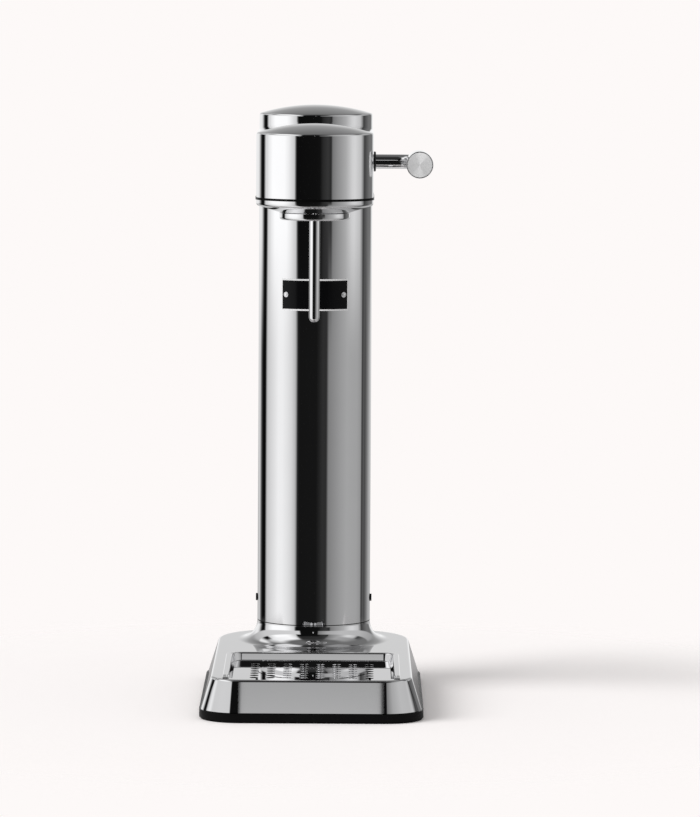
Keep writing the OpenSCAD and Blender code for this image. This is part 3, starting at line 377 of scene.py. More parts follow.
def make_pan():
    """Pressed pan: round rim on three sides, leaning wall and drain holes with a small rounded lip."""
    bm = bmesh.new()
    section = rounded([(0, RIM_LIFT, 0), (0, RIM_H, RIM_OUTER_R), (-RIM_W, RIM_H, RIM_INNER_R),
                       (-RIM_W - PAN_LEAN, -PAN_DEPTH, PAN_FILLET),
                       (-RIM_W - PAN_LEAN - 2 * PAN_FILLET, -PAN_DEPTH, 0)], PAN_STEP)
    plans = [pan_outline(-u) for u, z in section]
    front = [(side, PAN_FRONT + RIM_RUN * share, RIM_END + (1 - RIM_END) * share ** 2 * (3 - 2 * share))
             for side in (-1, 1) for share in RUN_SHARES]

    def front_ring(side, y, share):
        """Section near the pan's front, where the rim runs out into the tray's front."""
        return [on_deck(side * (PAN_X + u), y, min(z, RIM_LIFT + max(z - RIM_LIFT, 0) * share))
                for u, z in section]

    rings = [front_ring(*place) for place in front[:len(RUN_SHARES)]]
    rings += [[on_deck(plan[n].x, plan[n].y, z) for plan, (u, z) in zip(plans, section)]
              for n in range(len(plans[0]))]
    rings += [front_ring(*place) for place in front[len(RUN_SHARES):][::-1]]
    rows = loft(bm, rings, round_ring=False)
    floor = [row[-1] for row in rows]
    lip = rounded([(HOLE_R + HOLE_LIP + HOLE_FLAT, -PAN_DEPTH, 0), (HOLE_R, -PAN_DEPTH, HOLE_LIP),
                   (HOLE_R, -PAN_DEPTH - PAN_T - HOLE_OVERRUN, 0)], LIP_STEP)
    corner = math.atan2(HOLE_ROW, HOLE_PITCH)
    quarters = (-corner, corner, math.pi - corner, math.pi + corner, 2 * math.pi - corner)
    turns = [a + (b - a) * k / HOLE_STEPS for a, b in zip(quarters, quarters[1:]) for k in range(HOLE_STEPS)]
    cell_points = {}

    def cell_point(x, y):
        place = (round(x, 4), round(y, 4))
        if place not in cell_points:
            cell_points[place] = bm.verts.new(on_deck(x, y, -PAN_DEPTH) * MM)
        return cell_points[place]

    first_y = PAN_BACK - RIM_W - HOLE_END
    for column in range(HOLE_COUNT):
        for row in range(HOLE_COUNT):
            x = (column - (HOLE_COUNT - 1) / 2) * HOLE_PITCH
            y = first_y - row * HOLE_ROW
            turned = [[on_deck(x + r * math.cos(turn), y + r * math.sin(turn), z) for r, z in lip]
                      for turn in turns]
            ring = [line[0] for line in loft(bm, turned, round_ring=False, round_loft=True)]
            edge = []
            for turn in turns:
                reach = 0.5 / max(abs(math.cos(turn)) / HOLE_PITCH, abs(math.sin(turn)) / HOLE_ROW)
                edge.append(cell_point(x + reach * math.cos(turn), y + reach * math.sin(turn)))
            for n in range(len(turns)):
                k = (n + 1) % len(turns)
                bm.faces.new((ring[n], ring[k], edge[k], edge[n]))
    block_x = HOLE_COUNT / 2 * HOLE_PITCH
    block_y = (first_y + HOLE_ROW / 2, first_y - (HOLE_COUNT - 0.5) * HOLE_ROW)
    middle = sum(block_y) / 2
    border = [(x, y) for x, y in cell_points
              if min(abs(abs(x) - block_x), *(abs(y - side) for side in block_y)) < 0.001]
    border.sort(key=lambda place: math.atan2(place[1] - middle, place[0]))
    fill(bm, [floor, [cell_points[place] for place in border]])
    make_piece("pan", bm, "tray", "polished_steel", ["tray_pan"], sheet=PAN_SHEET, upward=True)

    bm = bmesh.new()
    top, foot = PAN_X - RIM_W, PAN_X - RIM_W - PAN_LEAN
    low_z = -PAN_DEPTH - PAN_T + HIDDEN
    loft(bm, [[on_deck(-top, y, -HIDDEN), on_deck(-foot, y + lean, low_z),
               on_deck(foot, y + lean, low_z), on_deck(top, y, -HIDDEN)]
              for y, lean in ((PAN_FRONT + CLEAR, 0), (PAN_FRONT + PAN_T, PAN_LEAN))], ends=True)
    make_piece("pan_front_wall", bm, "tray", "polished_steel")


# ---------------------------------------------------------------- column and head

def make_column():
    bm = bmesh.new()
    outside = domed(COLUMN_R, COLUMN_LOW.z, COLUMN_RIM_Z, COLUMN_HIGH.z)
    inside = domed(COLUMN_R - COLUMN_WALL, COLUMN_LOW.z, COLUMN_RIM_Z - COLUMN_WALL,
                   COLUMN_HIGH.z - COLUMN_WALL)
    lathe(bm, outside + inside[::-1], Vector((0, COLUMN_Y, 0)), steps=256)
    make_piece("column", bm, "machine", "polished_steel", ["column_shell"])


def behind(x):
    """Where a head piece at this distance from the middle meets the column or ends."""
    reach = COLUMN_R + CLEAR
    if x >= reach:
        return HEAD_SIDE_Y
    return min(HEAD_SIDE_Y, COLUMN_Y - math.sqrt(reach ** 2 - x ** 2))


def head_rings(outline, steps=120, straight=10):
    """Sections of a head piece: straight sides from the column and a half turn at the nozzle."""
    rings = []
    for k in range(straight):
        share = 1 - k / straight
        rings.append([(-r, NOZZLE_Y + (behind(r) - NOZZLE_Y) * share, z) for r, z in outline])
    for k in range(steps + 1):
        turn = math.pi + math.pi * k / steps
        rings.append([(r * math.cos(turn), NOZZLE_Y + r * math.sin(turn), z) for r, z in outline])
    for k in range(1, straight + 1):
        share = k / straight
        rings.append([(r, NOZZLE_Y + (behind(r) - NOZZLE_Y) * share, z) for r, z in outline])
    return rings


def make_head():
    bm = bmesh.new()
    outside = domed(HEAD_R, HEAD_LOW.z, HEAD_RIM_Z, HEAD_HIGH.z)
    inside = domed(HEAD_R - HEAD_WALL, HEAD_LOW.z, HEAD_RIM_Z - HEAD_WALL, HEAD_HIGH.z - HEAD_WALL)
    rows = loft(bm, head_rings(outside + inside[::-1]), round_ring=False)
    for row in (rows[0], rows[-1]):
        for j in range(len(outside) - 1):
            bm.faces.new((row[j], row[j + 1], row[-2 - j], row[-1 - j]))
    make_piece("head", bm, "machine", "polished_steel", ["head_shell"])


def make_cap():
    """Steel cap under the head: rounded band, level underside and a bowl round the nozzle."""
    band_r = HEAD_R - HEAD_WALL
    low_z = HEAD_LOW.z - GASKET_H - CAP_H
    top_z = low_z + CAP_H
    flat_r = HEAD_R - CAP_EDGE_R - CAP_STRIP
    bm = bmesh.new()
    section = rounded([(band_r, top_z, 0), (HEAD_R, top_z, 0), (HEAD_R, low_z, CAP_EDGE_R),
                       (flat_r, low_z, 0), (flat_r, low_z + CAP_T, 0), (band_r, low_z + CAP_T, 0)], 9)
    rows = loft(bm, head_rings(section))
    bm.faces.new(rows[0])
    bm.faces.new(rows[-1][::-1])
    turns = [math.pi * k / CAP_STEPS for k in range(CAP_STEPS + 1)]
    plan = [(flat_r * math.cos(turn), NOZZLE_Y + flat_r * math.sin(turn)) for turn in turns]
    half = CAP_STEPS // 2
    back = [(x * flat_r / half, behind(abs(x * flat_r / half))) for x in range(-half, half + 1)]
    loft(bm, [[(x, y, z) for x, y in plan + back] for z in (low_z, low_z + CAP_T)], ends=True)
    bowl_r, bowl_z, back_z = HEAD_R - CAP_EDGE_R, COLLAR_HIGH.z + BOWL_LIFT, low_z + CAP_T / 2
    bowl = rounded([(bowl_r, low_z, 0), (COLLAR_R, bowl_z, 0), (NECK_R, bowl_z, 0),
                    (NECK_R, back_z, 0), (bowl_r, back_z, 0)])
    lathe(bm, bowl, Vector((0, NOZZLE_Y, 0)), closed=True)
    make_piece("cap", bm, "machine", "polished_steel", ["head_cap"])


def make_collar():
    bm = bmesh.new()
    low, high = COLLAR_LOW.z, COLLAR_HIGH.z + COLLAR_LIFT
    outline = rounded([(NECK_R, low, COLLAR_MOUTH_R), (COLLAR_R, low, COLLAR_EDGE_R),
                       (COLLAR_R, high, COLLAR_TOP_R), (NECK_R, high, 0)], 9, closed=True)
    lathe(bm, outline, Vector((0, NOZZLE_Y, 0)), steps=192, closed=True)
    make_piece("collar", bm, "machine", "polished_steel", ["bottle_collar"])


# ---------------------------------------------------------------- lever and label

def make_lever_ring():
    bm = bmesh.new()
    outline = rounded([(ROD_R + CLEAR, RING_LOW.x, 0), (RING_R, RING_LOW.x, 0),
                       (RING_R, RING_HIGH.x, RING_EDGE_R), (ROD_R + CLEAR, RING_HIGH.x, BORE_EDGE_R)],
                      12, closed=True)
    lathe(bm, outline, Vector((0, COLUMN_Y, LEVER_Z)), axis="X", steps=96, closed=True)
    make_piece("ring", bm, "machine", "black_plastic", ["lever_ring"])


def make_arm():
    """Bent rod as one smooth sweep from inside the column to inside the knob."""
    bend_x, bend_y = KNOB_X - BEND_R, COLUMN_Y - BEND_R
    path = [(ARM_LOW.x, COLUMN_Y, 0), (RING_HIGH.x, COLUMN_Y, 0)]
    for degrees in range(0, 90 + BEND_STEP, BEND_STEP):
        turn = math.radians(degrees)
        path.append((bend_x + BEND_R * math.sin(turn), bend_y + BEND_R * math.cos(turn), turn))
    path.append((KNOB_X, ARM_LOW.y, math.pi / 2))
    around = [2 * math.pi * n / ROD_SIDES for n in range(ROD_SIDES)]
    rings = []
    for x, y, turn in path:
        middle, aside = Vector((x, y, LEVER_Z)), Vector((math.sin(turn), math.cos(turn), 0))
        rings.append([middle + ROD_R * (aside * math.cos(side) + Vector((0, 0, math.sin(side))))
                      for side in around])
    bm = bmesh.new()
    loft(bm, rings, ends=True)
    make_piece("arm", bm, "lever", "polished_steel", ["lever_arm"])


def make_knob():
    """Knob with a recess in front, and in it a turned face with fine ripples."""
    front, back = KNOB_LOW.y, KNOB_HIGH.y
    at, seat = Vector((KNOB_X, 0, LEVER_Z)), front + KNOB_CAP_T
    bm = bmesh.new()
    outline = rounded([(0, seat, 0), (KNOB_CAP_R + CLEAR, seat, 0), (KNOB_CAP_R + CLEAR, front, 0.25),
                       (KNOB_R, front, KNOB_EDGE_R), (KNOB_R, back, KNOB_EDGE_R * 1.5),
                       (ROD_R + CLEAR, back, BORE_EDGE_R), (ROD_R + CLEAR, back - KNOB_SOCKET, 0),
                       (0, back - KNOB_SOCKET, 0)], 10)
    lathe(bm, outline, at, axis="Y", steps=144)
    make_piece("knob", bm, "lever", "polished_steel", ["lever_knob"])

    bm = bmesh.new()
    face, edge = front + FACE_INSET, KNOB_CAP_R - FACE_BORDER
    count = int(edge / RIPPLE_PITCH) * RIPPLE_STEPS
    outline = [Vector((edge * k / count, face + RIPPLE_H * (1 - math.cos(2 * math.pi * k / RIPPLE_STEPS))))
               for k in range(count + 1)]
    outline += rounded([(edge, face, 0), (KNOB_CAP_R, face, 0.3), (KNOB_CAP_R, seat, 0),
                        (0, seat, 0)], 15)[1:]
    lathe(bm, outline, at, axis="Y", steps=144)
    make_piece("knob_face", bm, "lever", "turned_steel", ["knob_cap"], crease=70)


def make_spring():
    """Coil spring between the valve block and the plunger's head."""
    bm = bmesh.new()
    middle = (SPRING_LOW + SPRING_HIGH) / 2
    radius = (SPRING_HIGH.x - SPRING_LOW.x) / 2 - SPRING_WIRE_R
    low_z, high_z = SPRING_LOW.z + SPRING_WIRE_R, SPRING_HIGH.z - SPRING_WIRE_R
    rings, steps = [], SPRING_TURNS * SPRING_STEPS
    for step in range(steps + 1):
        turn, rise = 2 * math.pi * step / SPRING_STEPS, low_z + (high_z - low_z) * step / steps
        ring = []
        for side in range(SPRING_SIDES):
            around = 2 * math.pi * side / SPRING_SIDES
            reach = radius + SPRING_WIRE_R * math.cos(around)
            ring.append((middle.x + reach * math.cos(turn), middle.y + reach * math.sin(turn),
                         rise + SPRING_WIRE_R * math.sin(around)))
        rings.append(ring)
    loft(bm, rings, ends=True)
    between = (Vector((0, middle.y, low_z)) * MM, Vector((0, middle.y, high_z)) * MM)
    make_piece("spring", bm, ("machine", "plunger", *between), "screw_steel", ["return_spring"])


def make_rivets():
    """Two small domed rivets, each in a turned ring, on the label."""
    bm = bmesh.new()
    base = COLUMN_R + LABEL_T
    mid_z = (LABEL_LOW.z + LABEL_HIGH.z) / 2
    outline = []
    for degrees in range(0, 99, 9):
        turn = math.radians(degrees)
        outline.append(Vector((RIVET_DOME_R * math.sin(turn), RIVET_H * (0.55 + 0.45 * math.cos(turn)))))
    outline += rounded([(RIVET_GROOVE_R, RIVET_GROOVE_H, 0), (RIVET_R * 0.78, RIVET_GROOVE_H, 0.05),
                        (RIVET_R * 0.84, RIVET_H * 0.75, 0.12), (RIVET_R, RIVET_H * 0.6, 0.1),
                        (RIVET_R, -HIDDEN, 0), (0, -HIDDEN, 0)], 15)
    for side in (-1, 1):
        turn = Matrix.Rotation(math.radians(side * RIVET_TURN), 4, "Z")
        before = set(bm.verts)
        lathe(bm, [(r, -base - h) for r, h in outline], Vector((0, 0, 0)), axis="Y", steps=48)
        for vert in set(bm.verts) - before:
            vert.co = turn @ vert.co + Vector((0, COLUMN_Y, mid_z)) * MM
    make_piece("rivets", bm, "machine", "polished_steel", ["label_rivets"], crease=50)


# ---------------------------------------------------------------- shader helpers

def add(tree, kind, **settings):
    made = tree.nodes.new(kind)
    for key, value in settings.items():
        setattr(made, key, value)
    return made


def sums(tree, operation, a, b=None, c=None):
    """One step of arithmetic on numbers or nodes' outputs."""
    made = add(tree, "ShaderNodeMath", operation=operation)
    for place, value in zip(made.inputs, (a, b, c)):
        if value is None:
            continue
        if isinstance(value, (int, float)):
            place.default_value = value
        else:
            tree.links.new(value, place)
    return made.outputs[0]


def rest_of(tree, share):
    return sums(tree, "SUBTRACT", 1.0, share)


def spread(tree, value, low, high):
    """Smooth step from 0 at low to 1 at high; it falls where low is the larger."""
    made = add(tree, "ShaderNodeMapRange", interpolation_type="SMOOTHSTEP")
    tree.links.new(value, made.inputs["Value"])
    made.inputs["From Min"].default_value = low
    made.inputs["From Max"].default_value = high
    return made.outputs["Result"]


LEVEL_BOOST = 1.16   # polished steel gives back about this much less than it gets


def linear(level):
    """Linear light of a display level of 0..255."""
    share = level / 255
    return share / 12.92 if share <= 0.04045 else ((share + 0.055) / 1.055) ** 2.4


def grey(level):
    """Opaque grey that polished steel shows at about this display level of 0..255."""
    share = linear(level) * LEVEL_BOOST
    return share, share, share, 1


def ramp(tree, value, stops):
    """Grey ramp; stops are (place 0..1, level 0..255)."""
    made = add(tree, "ShaderNodeValToRGB")
    elements = made.color_ramp.elements
    while len(elements) > 1:
        elements.remove(elements[-1])
    for n, (place, level) in enumerate(stops):
        element = elements[0] if n == 0 else elements.new(place)
        element.position = place
        element.color = grey(level)
    tree.links.new(value, made.inputs["Fac"])
    return made.outputs["Color"]


def blend(tree, share, a, b):
    """Mixes two colours, each a node's output or a fixed (r, g, b, 1)."""
    made = add(tree, "ShaderNodeMix", data_type="RGBA")
    tree.links.new(share, made.inputs["Factor"])
    for place, colour in (("A", a), ("B", b)):
        if isinstance(colour, tuple):
            made.inputs[place].default_value = colour
        else:
            tree.links.new(colour, made.inputs[place])
    return made.outputs["Result"]


# ---------------------------------------------------------------- finishes

def new_group(name, inputs, outputs):
    """Shader node group with named inputs (name, value) and outputs."""
    group = bpy.data.node_groups.new(name, "ShaderNodeTree")
    for label, value in inputs:
        socket = group.interface.new_socket(name=label, in_out="INPUT", socket_type="NodeSocketFloat")
        socket.default_value = value
    for label in outputs:
        group.interface.new_socket(name=label, in_out="OUTPUT", socket_type="NodeSocketFloat")
    return group, add(group, "NodeGroupInput"), add(group, "NodeGroupOutput")


def noise(tree, scale, detail, stretch=None):
    """Noise in the piece's own coordinates, finer along some axes if stretched."""
    place = add(tree, "ShaderNodeTexCoord").outputs["Object"]
    if stretch:
        mapping = add(tree, "ShaderNodeMapping")
        mapping.inputs["Scale"].default_value = stretch
        tree.links.new(place, mapping.inputs["Vector"])
        place = mapping.outputs["Vector"]
    made = add(tree, "ShaderNodeTexNoise")
    tree.links.new(place, made.inputs["Vector"])
    made.inputs["Detail"].default_value = detail
    if isinstance(scale, (int, float)):
        made.inputs["Scale"].default_value = scale
    else:
        tree.links.new(scale, made.inputs["Scale"])
    return made.outputs[0]


HAZE_SCALE, HAZE_SHARE = 18.0, 0.65
STREAK_SCALE, STREAK_STRETCH, STREAK_SHARE = 900.0, (0.08, 0.08, 1.0), 0.35
PAINTED_WEDGE_TURN = 80                # how far the painted highlight's bright wedges on a turned face lean from level, in degrees
PAINTED_WEDGE_FALL = (0.1, 1.0)        # where they start and where they are full, by the cosine of the way round
# a fivefold ripple in the painted highlight: its count, its turn in degrees and its strength
FAN_COUNT, FAN_TURN, FAN_SHARE = 5.0, 40, 0.12
GRAIN_SHARE = 0.5
PATCH_SCALE, PATCH_RANGE = 45.0, (0.45, 0.8)


def make_polish_group():
    """Faint haze and wiping marks left by polishing."""
    group, given, result = new_group("polishing_marks", [("Haze", 0.03), ("Variation", 0.01)],
                                     ["Roughness", "Height"])
    haze = noise(group, HAZE_SCALE, 4.0)
    streaks = noise(group, STREAK_SCALE, 2.0, STREAK_STRETCH)
    share = sums(group, "MULTIPLY_ADD", streaks, STREAK_SHARE, sums(group, "MULTIPLY", haze, HAZE_SHARE))
    uneven = sums(group, "SUBTRACT", share, 0.5)
    rough = sums(group, "MULTIPLY_ADD", uneven, given.outputs["Variation"], given.outputs["Haze"])
    group.links.new(rough, result.inputs["Roughness"])
    group.links.new(streaks, result.inputs["Height"])
    return group


def make_lathe_and_highlight_group():
    """Fine grooves that a lathe leaves round a piece's middle, and a painted highlight: bright wedges round
    the middle, as such grooves throw them, with the grooves' grain mixed in.
    """
    given_values = [("Roughness", 0.3), ("Variation", 0.1), ("Scale", 2500.0)]
    group, given, result = new_group("lathe_marks_and_painted_wedges", given_values, ["Roughness", "Height", "PaintedWedgesAndGrain"])
    grain = noise(group, given.outputs["Scale"], 2.0)
    axes = add(group, "ShaderNodeSeparateXYZ")
    group.links.new(add(group, "ShaderNodeTexCoord").outputs["Generated"], axes.inputs[0])
    across, up = (sums(group, "SUBTRACT", axes.outputs[n], 0.5) for n in (0, 2))
    # painted highlight: bright wedges by the angle round the piece's middle, fixed to the piece
    angle = sums(group, "ARCTAN2", up, across)
    twice = sums(group, "COSINE", sums(group, "MULTIPLY_ADD", angle, 2.0, math.radians(-PAINTED_WEDGE_TURN * 2)))
    fan = sums(group, "COSINE", sums(group, "MULTIPLY_ADD", angle, FAN_COUNT, math.radians(FAN_TURN)))
    painted_wedges = sums(group, "MULTIPLY_ADD", fan, FAN_SHARE, spread(group, twice, *PAINTED_WEDGE_FALL))
    uneven = sums(group, "SUBTRACT", grain, 0.5)
    painted_wedges = sums(group, "MULTIPLY_ADD", uneven, GRAIN_SHARE, painted_wedges)
    rough = sums(group, "MULTIPLY_ADD", uneven, given.outputs["Variation"], given.outputs["Roughness"])
    group.links.new(rough, result.inputs["Roughness"])
    group.links.new(grain, result.inputs["Height"])
    group.links.new(painted_wedges, result.inputs["PaintedWedgesAndGrain"])
    return group


def make_moulded_group():
    """Fine pores of moulded rubber and plastic, with slightly dusty patches."""
    group, given, result = new_group("moulded_grain", [("Scale", 1800.0), ("Roughness", 0.7), ("Dust", 0.1)],
                                     ["Roughness", "Height", "Dust"])
    grain = noise(group, given.outputs["Scale"], 4.0)
    patches = noise(group, PATCH_SCALE, 5.0)
    rough = sums(group, "MULTIPLY_ADD", patches, given.outputs["Dust"], given.outputs["Roughness"])
    dust = sums(group, "MULTIPLY", spread(group, patches, *PATCH_RANGE), given.outputs["Dust"])
    group.links.new(rough, result.inputs["Roughness"])
    group.links.new(grain, result.inputs["Height"])
    group.links.new(dust, result.inputs["Dust"])
    return group


def use_group(tree, group, **values):
    made = add(tree, "ShaderNodeGroup", node_tree=group)
    for name, value in values.items():
        made.inputs[name].default_value = value
    return made


def bumped(tree, shader, height, strength, distance_mm):
    bump = add(tree, "ShaderNodeBump")
    bump.inputs["Strength"].default_value = strength
    bump.inputs["Distance"].default_value = distance_mm * MM
    tree.links.new(height, bump.inputs["Height"])
    tree.links.new(bump.outputs["Normal"], shader.inputs["Normal"])


METAL_GRAIN, MOULD_GRAIN = 0.02, 0.05      # depth of the surface's grain, in millimetres
GROOVE_STRENGTH, TONE_SCALE = 0.8, 60.0


def metal(name, colour, haze, variation, group="polish", bump=0.0, tone_and_highlight=0.0, metallic=1.0, turned_about=None):
    """Steel, brass and the like, with random darker marks in the colour; a face turned about an axis gets a
    painted highlight instead, darker outside bright wedges round the axis.
    """
    material = bpy.data.materials.new(name)
    material.use_nodes = True
    tree = material.node_tree
    shader = tree.nodes["Principled BSDF"]
    shader.inputs["Base Color"].default_value = (*colour, 1)
    shader.inputs["Metallic"].default_value = metallic
    if turned_about:
        shader.inputs["Anisotropic"].default_value = GROOVE_STRENGTH
        grooves = add(tree, "ShaderNodeTangent", direction_type="RADIAL", axis=turned_about)
        tree.links.new(grooves.outputs[0], shader.inputs["Tangent"])
    if group == "polish":
        marks = use_group(tree, polish_group, Haze=haze, Variation=variation)
    else:
        marks = use_group(tree, lathe_and_highlight_group, Roughness=haze, Variation=variation)
    tree.links.new(marks.outputs["Roughness"], shader.inputs["Roughness"])
    if bump:
        bumped(tree, shader, marks.outputs["Height"], bump, METAL_GRAIN)
    # random darker marks; on a face turned about an axis, a painted highlight, darker outside its bright
    # wedges
    if tone_and_highlight:
        darker = tuple(channel * (1 - tone_and_highlight) for channel in colour)
        share = marks.outputs["PaintedWedgesAndGrain"] if turned_about else noise(tree, TONE_SCALE, 4.0)
        tree.links.new(blend(tree, share, (*darker, 1), (*colour, 1)), shader.inputs["Base Color"])
    return material


def moulded(name, colour, roughness, specular, scale=1800.0, dust=0.06, bump=0.15, dusty=0.05):
    """Rubber, plastic and enamel, with a pale grey where dust lies."""
    material = bpy.data.materials.new(name)
    material.use_nodes = True
    tree = material.node_tree
    shader = tree.nodes["Principled BSDF"]
    shader.inputs["Specular IOR Level"].default_value = specular
    grain = use_group(tree, moulded_group, Scale=scale, Roughness=roughness, Dust=dust)
    dusted = blend(tree, grain.outputs["Dust"], (*colour, 1), (dusty, dusty, dusty, 1))
    tree.links.new(dusted, shader.inputs["Base Color"])
    tree.links.new(grain.outputs["Roughness"], shader.inputs["Roughness"])
    if bump:
        bumped(tree, shader, grain.outputs["Height"], bump, MOULD_GRAIN)
    return material


polish_group = make_polish_group()
lathe_and_highlight_group = make_lathe_and_highlight_group()
moulded_group = make_moulded_group()
finishes = {
    "polished_steel": metal("polished_steel", (0.865, 0.865, 0.875), 0.014, 0.008, tone_and_highlight=0.03),
    # the turned face's colour carries a painted highlight: bright wedges round its middle
    "turned_steel": metal("turned_steel", (0.98, 0.98, 0.985), 0.36, 0.06, "turned", metallic=0.05,
                          turned_about="Y", tone_and_highlight=0.2),
    "inner_steel": metal("inner_steel", (0.62, 0.62, 0.64), 0.28, 0.1, "turned", 0.1, 0.1),
    "screw_steel": metal("screw_steel", (0.5, 0.5, 0.52), 0.26, 0.08, "turned", 0.1, 0.15),
    "dark_steel": moulded("dark_steel", (0.012, 0.012, 0.013), 0.35, 0.4, dust=0.04),
    "aluminium": metal("aluminium", (0.74, 0.75, 0.77), 0.33, 0.1, "turned", 0.15, 0.08),
    "brass": metal("brass", (0.78, 0.62, 0.30), 0.24, 0.1, "turned", 0.1, 0.12),
    "copper_pipe": metal("copper_pipe", (0.78, 0.45, 0.30), 0.2, 0.1, "turned", 0.05, 0.2),
    "black_rubber": moulded("black_rubber", (0.0032, 0.0032, 0.0033), 0.26, 0.05, dust=0.02, dusty=0.02),
    "black_plastic": moulded("black_plastic", (0.010, 0.010, 0.010), 0.42, 0.3, 2600.0, 0.05, 0.08),
    "black_enamel": moulded("black_enamel", (0.004, 0.004, 0.0045), 0.08, 0.12, 700.0, 0.02, 0.01, 0.01),
}


# ---------------------------------------------------------------- studio

SKY_SHARE = 0.62     # light that comes evenly from all round; the lamp gives the rest
SKY = (SKY_SHARE, SKY_SHARE, SKY_SHARE, 1)
PALE = (linear(253), linear(249), linear(248), 1)


def bearings(stops):
    """Stops given in degrees round the machine: 0 is the front, plus is to the right in the photo."""
    return [((degrees + 180) / 360, level) for degrees, level in stops]


HORIZON = bearings([
    (-150, 232), (-145, 226), (-140.5, 211), (-135.5, 156), (-131, 65), (-127, 8), (-117.8, 18),
    (-114.5, 165), (-111, 220), (-108, 214), (-102.6, 234), (-91, 255), (-61.4, 253), (-52.5, 238),
    (-46, 219), (-39.8, 201), (-37.7, 86), (-35.6, 12), (4, 15), (11, 18), (16, 40), (26, 54), (32.5, 42),
    (35.5, 118), (45, 139), (55, 155), (64, 170), (79, 207), (86, 212), (103, 190), (114, 60), (136, 110)])
LOWER = bearings([
    (-150, 207), (-143.6, 142), (-137.6, 60), (-132, 15), (-122, 6), (-119, 33), (-115.4, 163),
    (-111.7, 198), (-89.7, 225), (-78.8, 239), (-68.6, 238), (-56.8, 226), (-47.8, 212), (-40, 186),
    (-37, 134), (-34.9, 34), (-30, 20), (4, 21), (9, 32), (17, 46), (24.8, 44), (26.9, 97), (29, 126),
    (55, 153), (70, 163), (97, 159), (110, 146), (113.6, 55), (121, 85), (126, 70), (136, 113), (150, 165)])
HIGH = bearings([
    (-180, 112), (-170, 120), (-160, 160), (-150, 178), (-120, 200), (-60, 206), (-30, 204), (-28.5, 180),
    (-27.3, 14), (9, 14), (10.5, 120), (30, 165), (60, 185), (110, 180), (150, 155), (165, 118), (180, 112)])
TOP = bearings([
    (-180, 102), (-150, 102), (-130, 190), (-110, 235), (-60, 250), (-44, 225), (-36, 70), (-30, 40),
    (20, 45), (30, 60), (38, 120), (60, 160), (100, 150), (130, 110), (180, 102)])
CEILING = bearings([
    (-180, 102), (-110, 102), (-55, 100), (-28, 66), (0, 52), (28, 66), (55, 96), (110, 102), (180, 102)])
BACK = [    # from straight down (0) to straight up (1)
    (0.0, 150), (0.30, 195), (0.45, 165), (0.465, 175), (0.485, 225), (0.5, 238), (0.545, 205), (0.61, 150),
    (0.70, 110), (0.80, 104), (1.0, 98)]

# Where one band of panels passes into the next, in degrees of height or, for BACK_SIDES, of bearing.
TO_HORIZON, TO_HIGH, TO_HORIZON_AGAIN = (-4.4, -2.6), (13, 17), (33, 37)
TO_TOP, TO_CEILING = (42, 50), (58, 70)
BACK_TOP, BACK_SIDES = (50, 60), (148, 164)
WINDOW_LOW, WINDOW_HIGH = (19, 21), (25, 31)
WINDOW_LEFT, WINDOW_RIGHT, WINDOW_BLUR, WINDOW_LEVEL = -1.45, 0.485, 0.01, 186


def make_surround():
    """What the steel mirrors: tall bright and dark panels round the machine, a dark ceiling."""
    world = bpy.data.worlds.new("studio_surround")
    bpy.context.scene.world = world
    world.use_nodes = True
    tree = world.node_tree
    tree.nodes.clear()
    place = add(tree, "ShaderNodeTexCoord")
    axes = add(tree, "ShaderNodeSeparateXYZ")
    tree.links.new(place.outputs["Generated"], axes.inputs[0])
    x, y, z = axes.outputs
    turn = sums(tree, "ARCTAN2", x, sums(tree, "MULTIPLY", y, -1.0))
    bearing = sums(tree, "MULTIPLY_ADD", turn, 0.5 / math.pi, 0.5)
    rise = sums(tree, "MULTIPLY_ADD", sums(tree, "ARCSINE", z), 1 / math.pi, 0.5)
    aside = sums(tree, "ABSOLUTE", turn)

    def above(low, high):
        return spread(tree, rise, 0.5 + low / 180, 0.5 + high / 180)

    def panels(stops):
        return ramp(tree, bearing, stops)

    window = sums(tree, "MULTIPLY", above(*WINDOW_LOW), rest_of(tree, above(*WINDOW_HIGH)))
    for edge, far in ((WINDOW_LEFT, WINDOW_BLUR), (WINDOW_RIGHT, -WINDOW_BLUR)):
        inside = spread(tree, turn, math.radians(edge - far), math.radians(edge + far))
        window = sums(tree, "MULTIPLY", window, inside)
    high = blend(tree, window, panels(HIGH), grey(WINDOW_LEVEL))
    low = blend(tree, above(*TO_HORIZON), panels(LOWER), panels(HORIZON))
    front = blend(tree, above(*TO_HIGH), low, high)
    for border, stops in ((TO_HORIZON_AGAIN, HORIZON), (TO_TOP, TOP), (TO_CEILING, CEILING)):
        front = blend(tree, above(*border), front, panels(stops))
    back = ramp(tree, rise, BACK)
    at_back = spread(tree, aside, *map(math.radians, BACK_SIDES))
    around = blend(tree, sums(tree, "MULTIPLY", at_back, rest_of(tree, above(*BACK_TOP))), front, back)
    path = add(tree, "ShaderNodeLightPath")
    seen = sums(tree, "MAXIMUM", path.outputs["Is Camera Ray"], path.outputs["Is Transmission Ray"])
    colour = blend(tree, path.outputs["Is Glossy Ray"], blend(tree, seen, SKY, PALE), around)
    light = add(tree, "ShaderNodeBackground")
    light.inputs["Strength"].default_value = 1.0
    tree.links.new(colour, light.inputs["Color"])
    tree.links.new(light.outputs[0], add(tree, "ShaderNodeOutputWorld").inputs["Surface"])


FLOOR_R = 0.5                                        # metres, as are the next four
FLOOR_FADE, MIRRORED_FADE = (0.26, 0.46), (0.16, 0.26)
BESIDE_X, BESIDE_Y = (0.055, 0.08), (-0.14, -0.08)
BESIDE_PAINTED_SHADE = (0.42, 0.41, 0.41, 1)                  # painted shade on the floor beside the base, which the base's sides mirror
